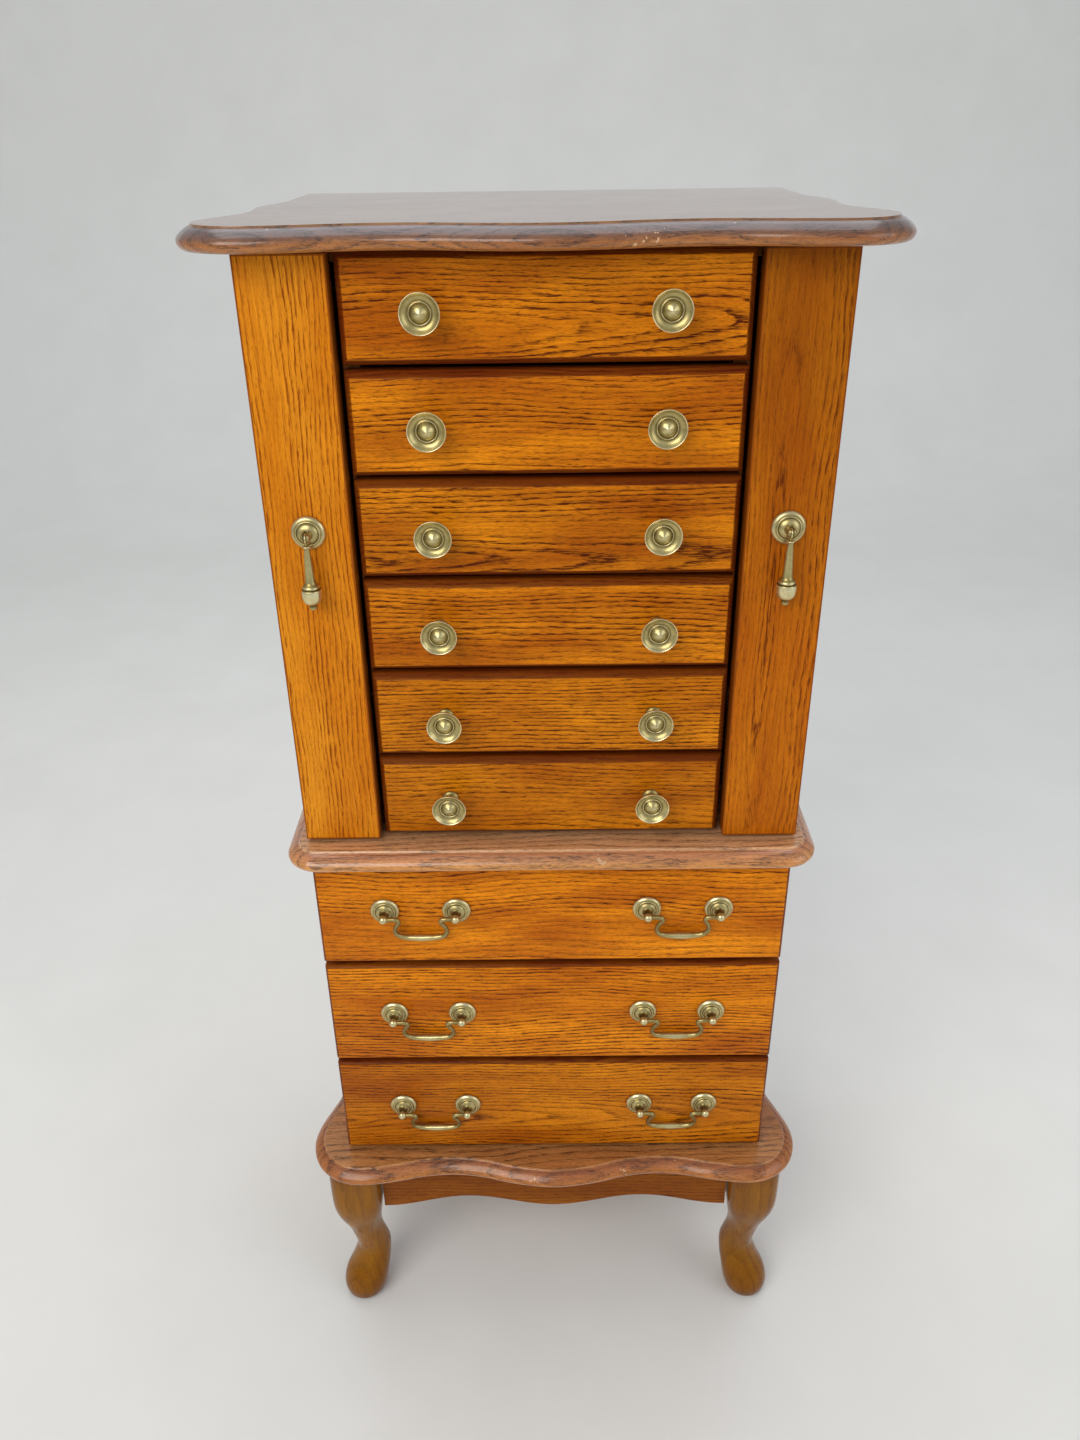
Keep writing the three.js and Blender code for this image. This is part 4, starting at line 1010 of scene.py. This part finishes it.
for side, sign in SIDES:
    low, high = span(f"door_panel_{side}")
    rail = low[0] if sign > 0 else high[0]
    facing_in = hook if sign > 0 else moved(hook, turn("Z", 180))
    places = [FIRST_HOOK_Y + k * HOOKS_OVER / (HOOKS - 1) for k in range(HOOKS)]
    row = [moved(facing_in, Matrix.Translation((rail, y, high[2] - HOOK_BELOW_TOP))) for y in places]
    name = f"necklace_hooks_{side}"
    piece(name, mesh_of(name, together(*row), BRASS, 45), f"door_{side}")
    inner = rail + sign * RAIL_REACH
    left, right = sorted((inner, inner - sign * FELT))
    bottom, top = low[2] + LINING_ABOVE_BOTTOM, high[2] - LINING_BELOW_TOP
    cloth = board((left, LINING_FRONT, bottom), (right, LINING_BACK, top), 0.4)
    name = f"door_{side}_lining"
    piece(name, mesh_of(name, cloth, VELVET), f"door_{side}")

# ---- Tray: flocked floor and ring cushion ----
tray_low, tray_high = span("tray")
cushion_low, cushion_high = span("ring_cushion")
divider_back = cushion_high[1] + 6.5
floor = tray_low[2] + 5
left, right, back = tray_low[0] + 0.5, tray_high[0] - 0.5, tray_high[1]
DIVIDER_HEIGHT = 30
DIVIDER_X = 44
parts = [board((left, divider_back + 0.4, floor), (right, back - 0.5, floor + 1), 0.3)]
for x in (-DIVIDER_X, DIVIDER_X):
    low = (x - DIVIDER / 2, divider_back + 0.5, floor + 0.8)
    parts.append(board(low, (x + DIVIDER / 2, back - 0.8, floor + DIVIDER_HEIGHT), 0.7))
piece("tray_lining", mesh_of("tray_lining", together(*parts), VELVET), "case")


def roll(length, width, height, seed, rings=48, sides=28):
    """One padded ring roll along X: full in the middle, drawn in at its sewn ends."""
    verts = []
    for j in range(rings + 1):
        u = j / rings
        x = (u - 0.5) * length
        end = min(1, 2.2 * min(u, 1 - u) * length / width)
        full = math.sin(math.pi / 2 * min(1, end)) ** 0.5 if end > 0 else 0.0
        pucker = 1 + 0.012 * math.sin(17 * u + seed) + 0.008 * math.sin(41 * u + 2 * seed)
        for i in range(sides):
            a = 2 * math.pi * i / sides
            c, s = math.cos(a), math.sin(a)
            y = math.copysign(abs(c) ** 0.75, c) * width / 2 * (0.55 + 0.45 * full) * pucker
            z = math.copysign(abs(s) ** (0.8 if s > 0 else 0.35), s) * height / 2 * (0.7 + 0.3 * full)
            verts.append((x, y, z if s > 0 else max(z, -height / 2)))
    return verts, skin(sides, rings + 1), None


ROLLS = 5
length, depth, height = [b - a for a, b in zip(cushion_low, cushion_high)]
pitch = depth / ROLLS
rolls = []
for k in range(ROLLS):
    place = Matrix.Translation((0, (k + 0.5) * pitch - depth / 2, 0))
    rolls.append(moved(roll(length - 1, pitch + 0.6, height, k * 1.7), place))
cushion = piece(
    "ring_rolls", mesh_of("ring_rolls", together(*rolls), VELVET, 60), "case",
    at=[(a + b) / 2 for a, b in zip(cushion_low, cushion_high)], replaces=["ring_cushion"],
)

# ---- Camera ----
camera_data = bpy.data.cameras.new("camera")
camera = bpy.data.objects.new("camera", camera_data)
bpy.context.scene.collection.objects.link(camera)
bpy.context.scene.camera = camera
camera_data.sensor_width = 36
camera_data.lens = 28.125
camera_place = (-0.0011, -0.9345, 1.1489)
pitch_down, yaw, roll_by = math.radians(28.422), math.radians(-0.489), math.radians(0.814)
level = math.cos(pitch_down)
forward = Vector((math.sin(yaw) * level, math.cos(yaw) * level, -math.sin(pitch_down)))
right = Vector((math.cos(yaw), -math.sin(yaw), 0))
down = forward.cross(right)
across = math.cos(roll_by) * right + math.sin(roll_by) * down
below = math.cos(roll_by) * down - math.sin(roll_by) * right
facing = Matrix((across, -below, -forward)).transposed().to_4x4()
camera.matrix_world = Matrix.Translation(camera_place) @ facing

# ---- Floor, backdrop and light ----
# One sheet that runs back level and curves up into a wall, in metres
FLOOR_REACH = 20
COVE_START = 2.2
COVE_RADIUS = 1.2
WALL_TOP = 9
floor_mesh = bpy.data.meshes.new("floor")
cove = [math.radians(a) for a in range(6, 91, 6)]
profile = [(-FLOOR_REACH, 0), (COVE_START, 0)]
profile += [(COVE_START + COVE_RADIUS * math.sin(a), COVE_RADIUS * (1 - math.cos(a))) for a in cove]
profile.append((COVE_START + COVE_RADIUS, WALL_TOP))
floor_verts = [(x, y, z) for y, z in profile for x in (-FLOOR_REACH, FLOOR_REACH)]
strips = [(2 * i, 2 * i + 1, 2 * i + 3, 2 * i + 2) for i in range(len(profile) - 1)]
floor_mesh.from_pydata(floor_verts, [], strips)
for polygon in floor_mesh.polygons:
    polygon.use_smooth = True
t = Tree("pale_floor")
mottle = t.noise(t.place()[1], scale=0.006, detail=4, roughness=0.6)
t.set(Base_Color=t.mix(mottle, rgb(222, 220, 215), rgb(232, 230, 226)))
t.set(Roughness=t.math("MULTIPLY_ADD", mottle, 0.2, 0.6))
floor_mesh.materials.append(t.material)
floor_object = bpy.data.objects.new("floor", floor_mesh)
bpy.context.scene.collection.objects.link(floor_object)

world = bpy.data.worlds.new("studio")
bpy.context.scene.world = world
world.use_nodes = True
sky = world.node_tree.nodes["Background"]
sky.inputs["Color"].default_value = (0.86, 0.93, 1.0, 1)
sky.inputs["Strength"].default_value = 0.55
for name, place, target, size, power, colour in (
    ("key", (-1.3, -2.3, 2.5), (0, 0, 0.65), (2.2, 1.8), 52, (1, 0.97, 0.92)),
    ("fill", (2.4, -1.5, 1.6), (0, 0, 0.5), (2.0, 2.0), 16, (0.95, 0.97, 1)),
    ("top", (0, 0.7, 3.0), (0, 0.1, 0.9), (2.6, 2.0), 30, (0.93, 0.96, 1)),
):
    light = bpy.data.lights.new(name, "AREA")
    light.shape = "RECTANGLE"
    light.size, light.size_y = size
    light.energy = power
    light.color = colour
    lamp = bpy.data.objects.new(name, light)
    lamp.location = place
    lamp.visible_camera = False
    lamp.rotation_euler = (Vector(target) - Vector(place)).to_track_quat("-Z", "Y").to_euler()
    bpy.context.scene.collection.objects.link(lamp)
bpy.context.scene.view_settings.view_transform = "Standard"
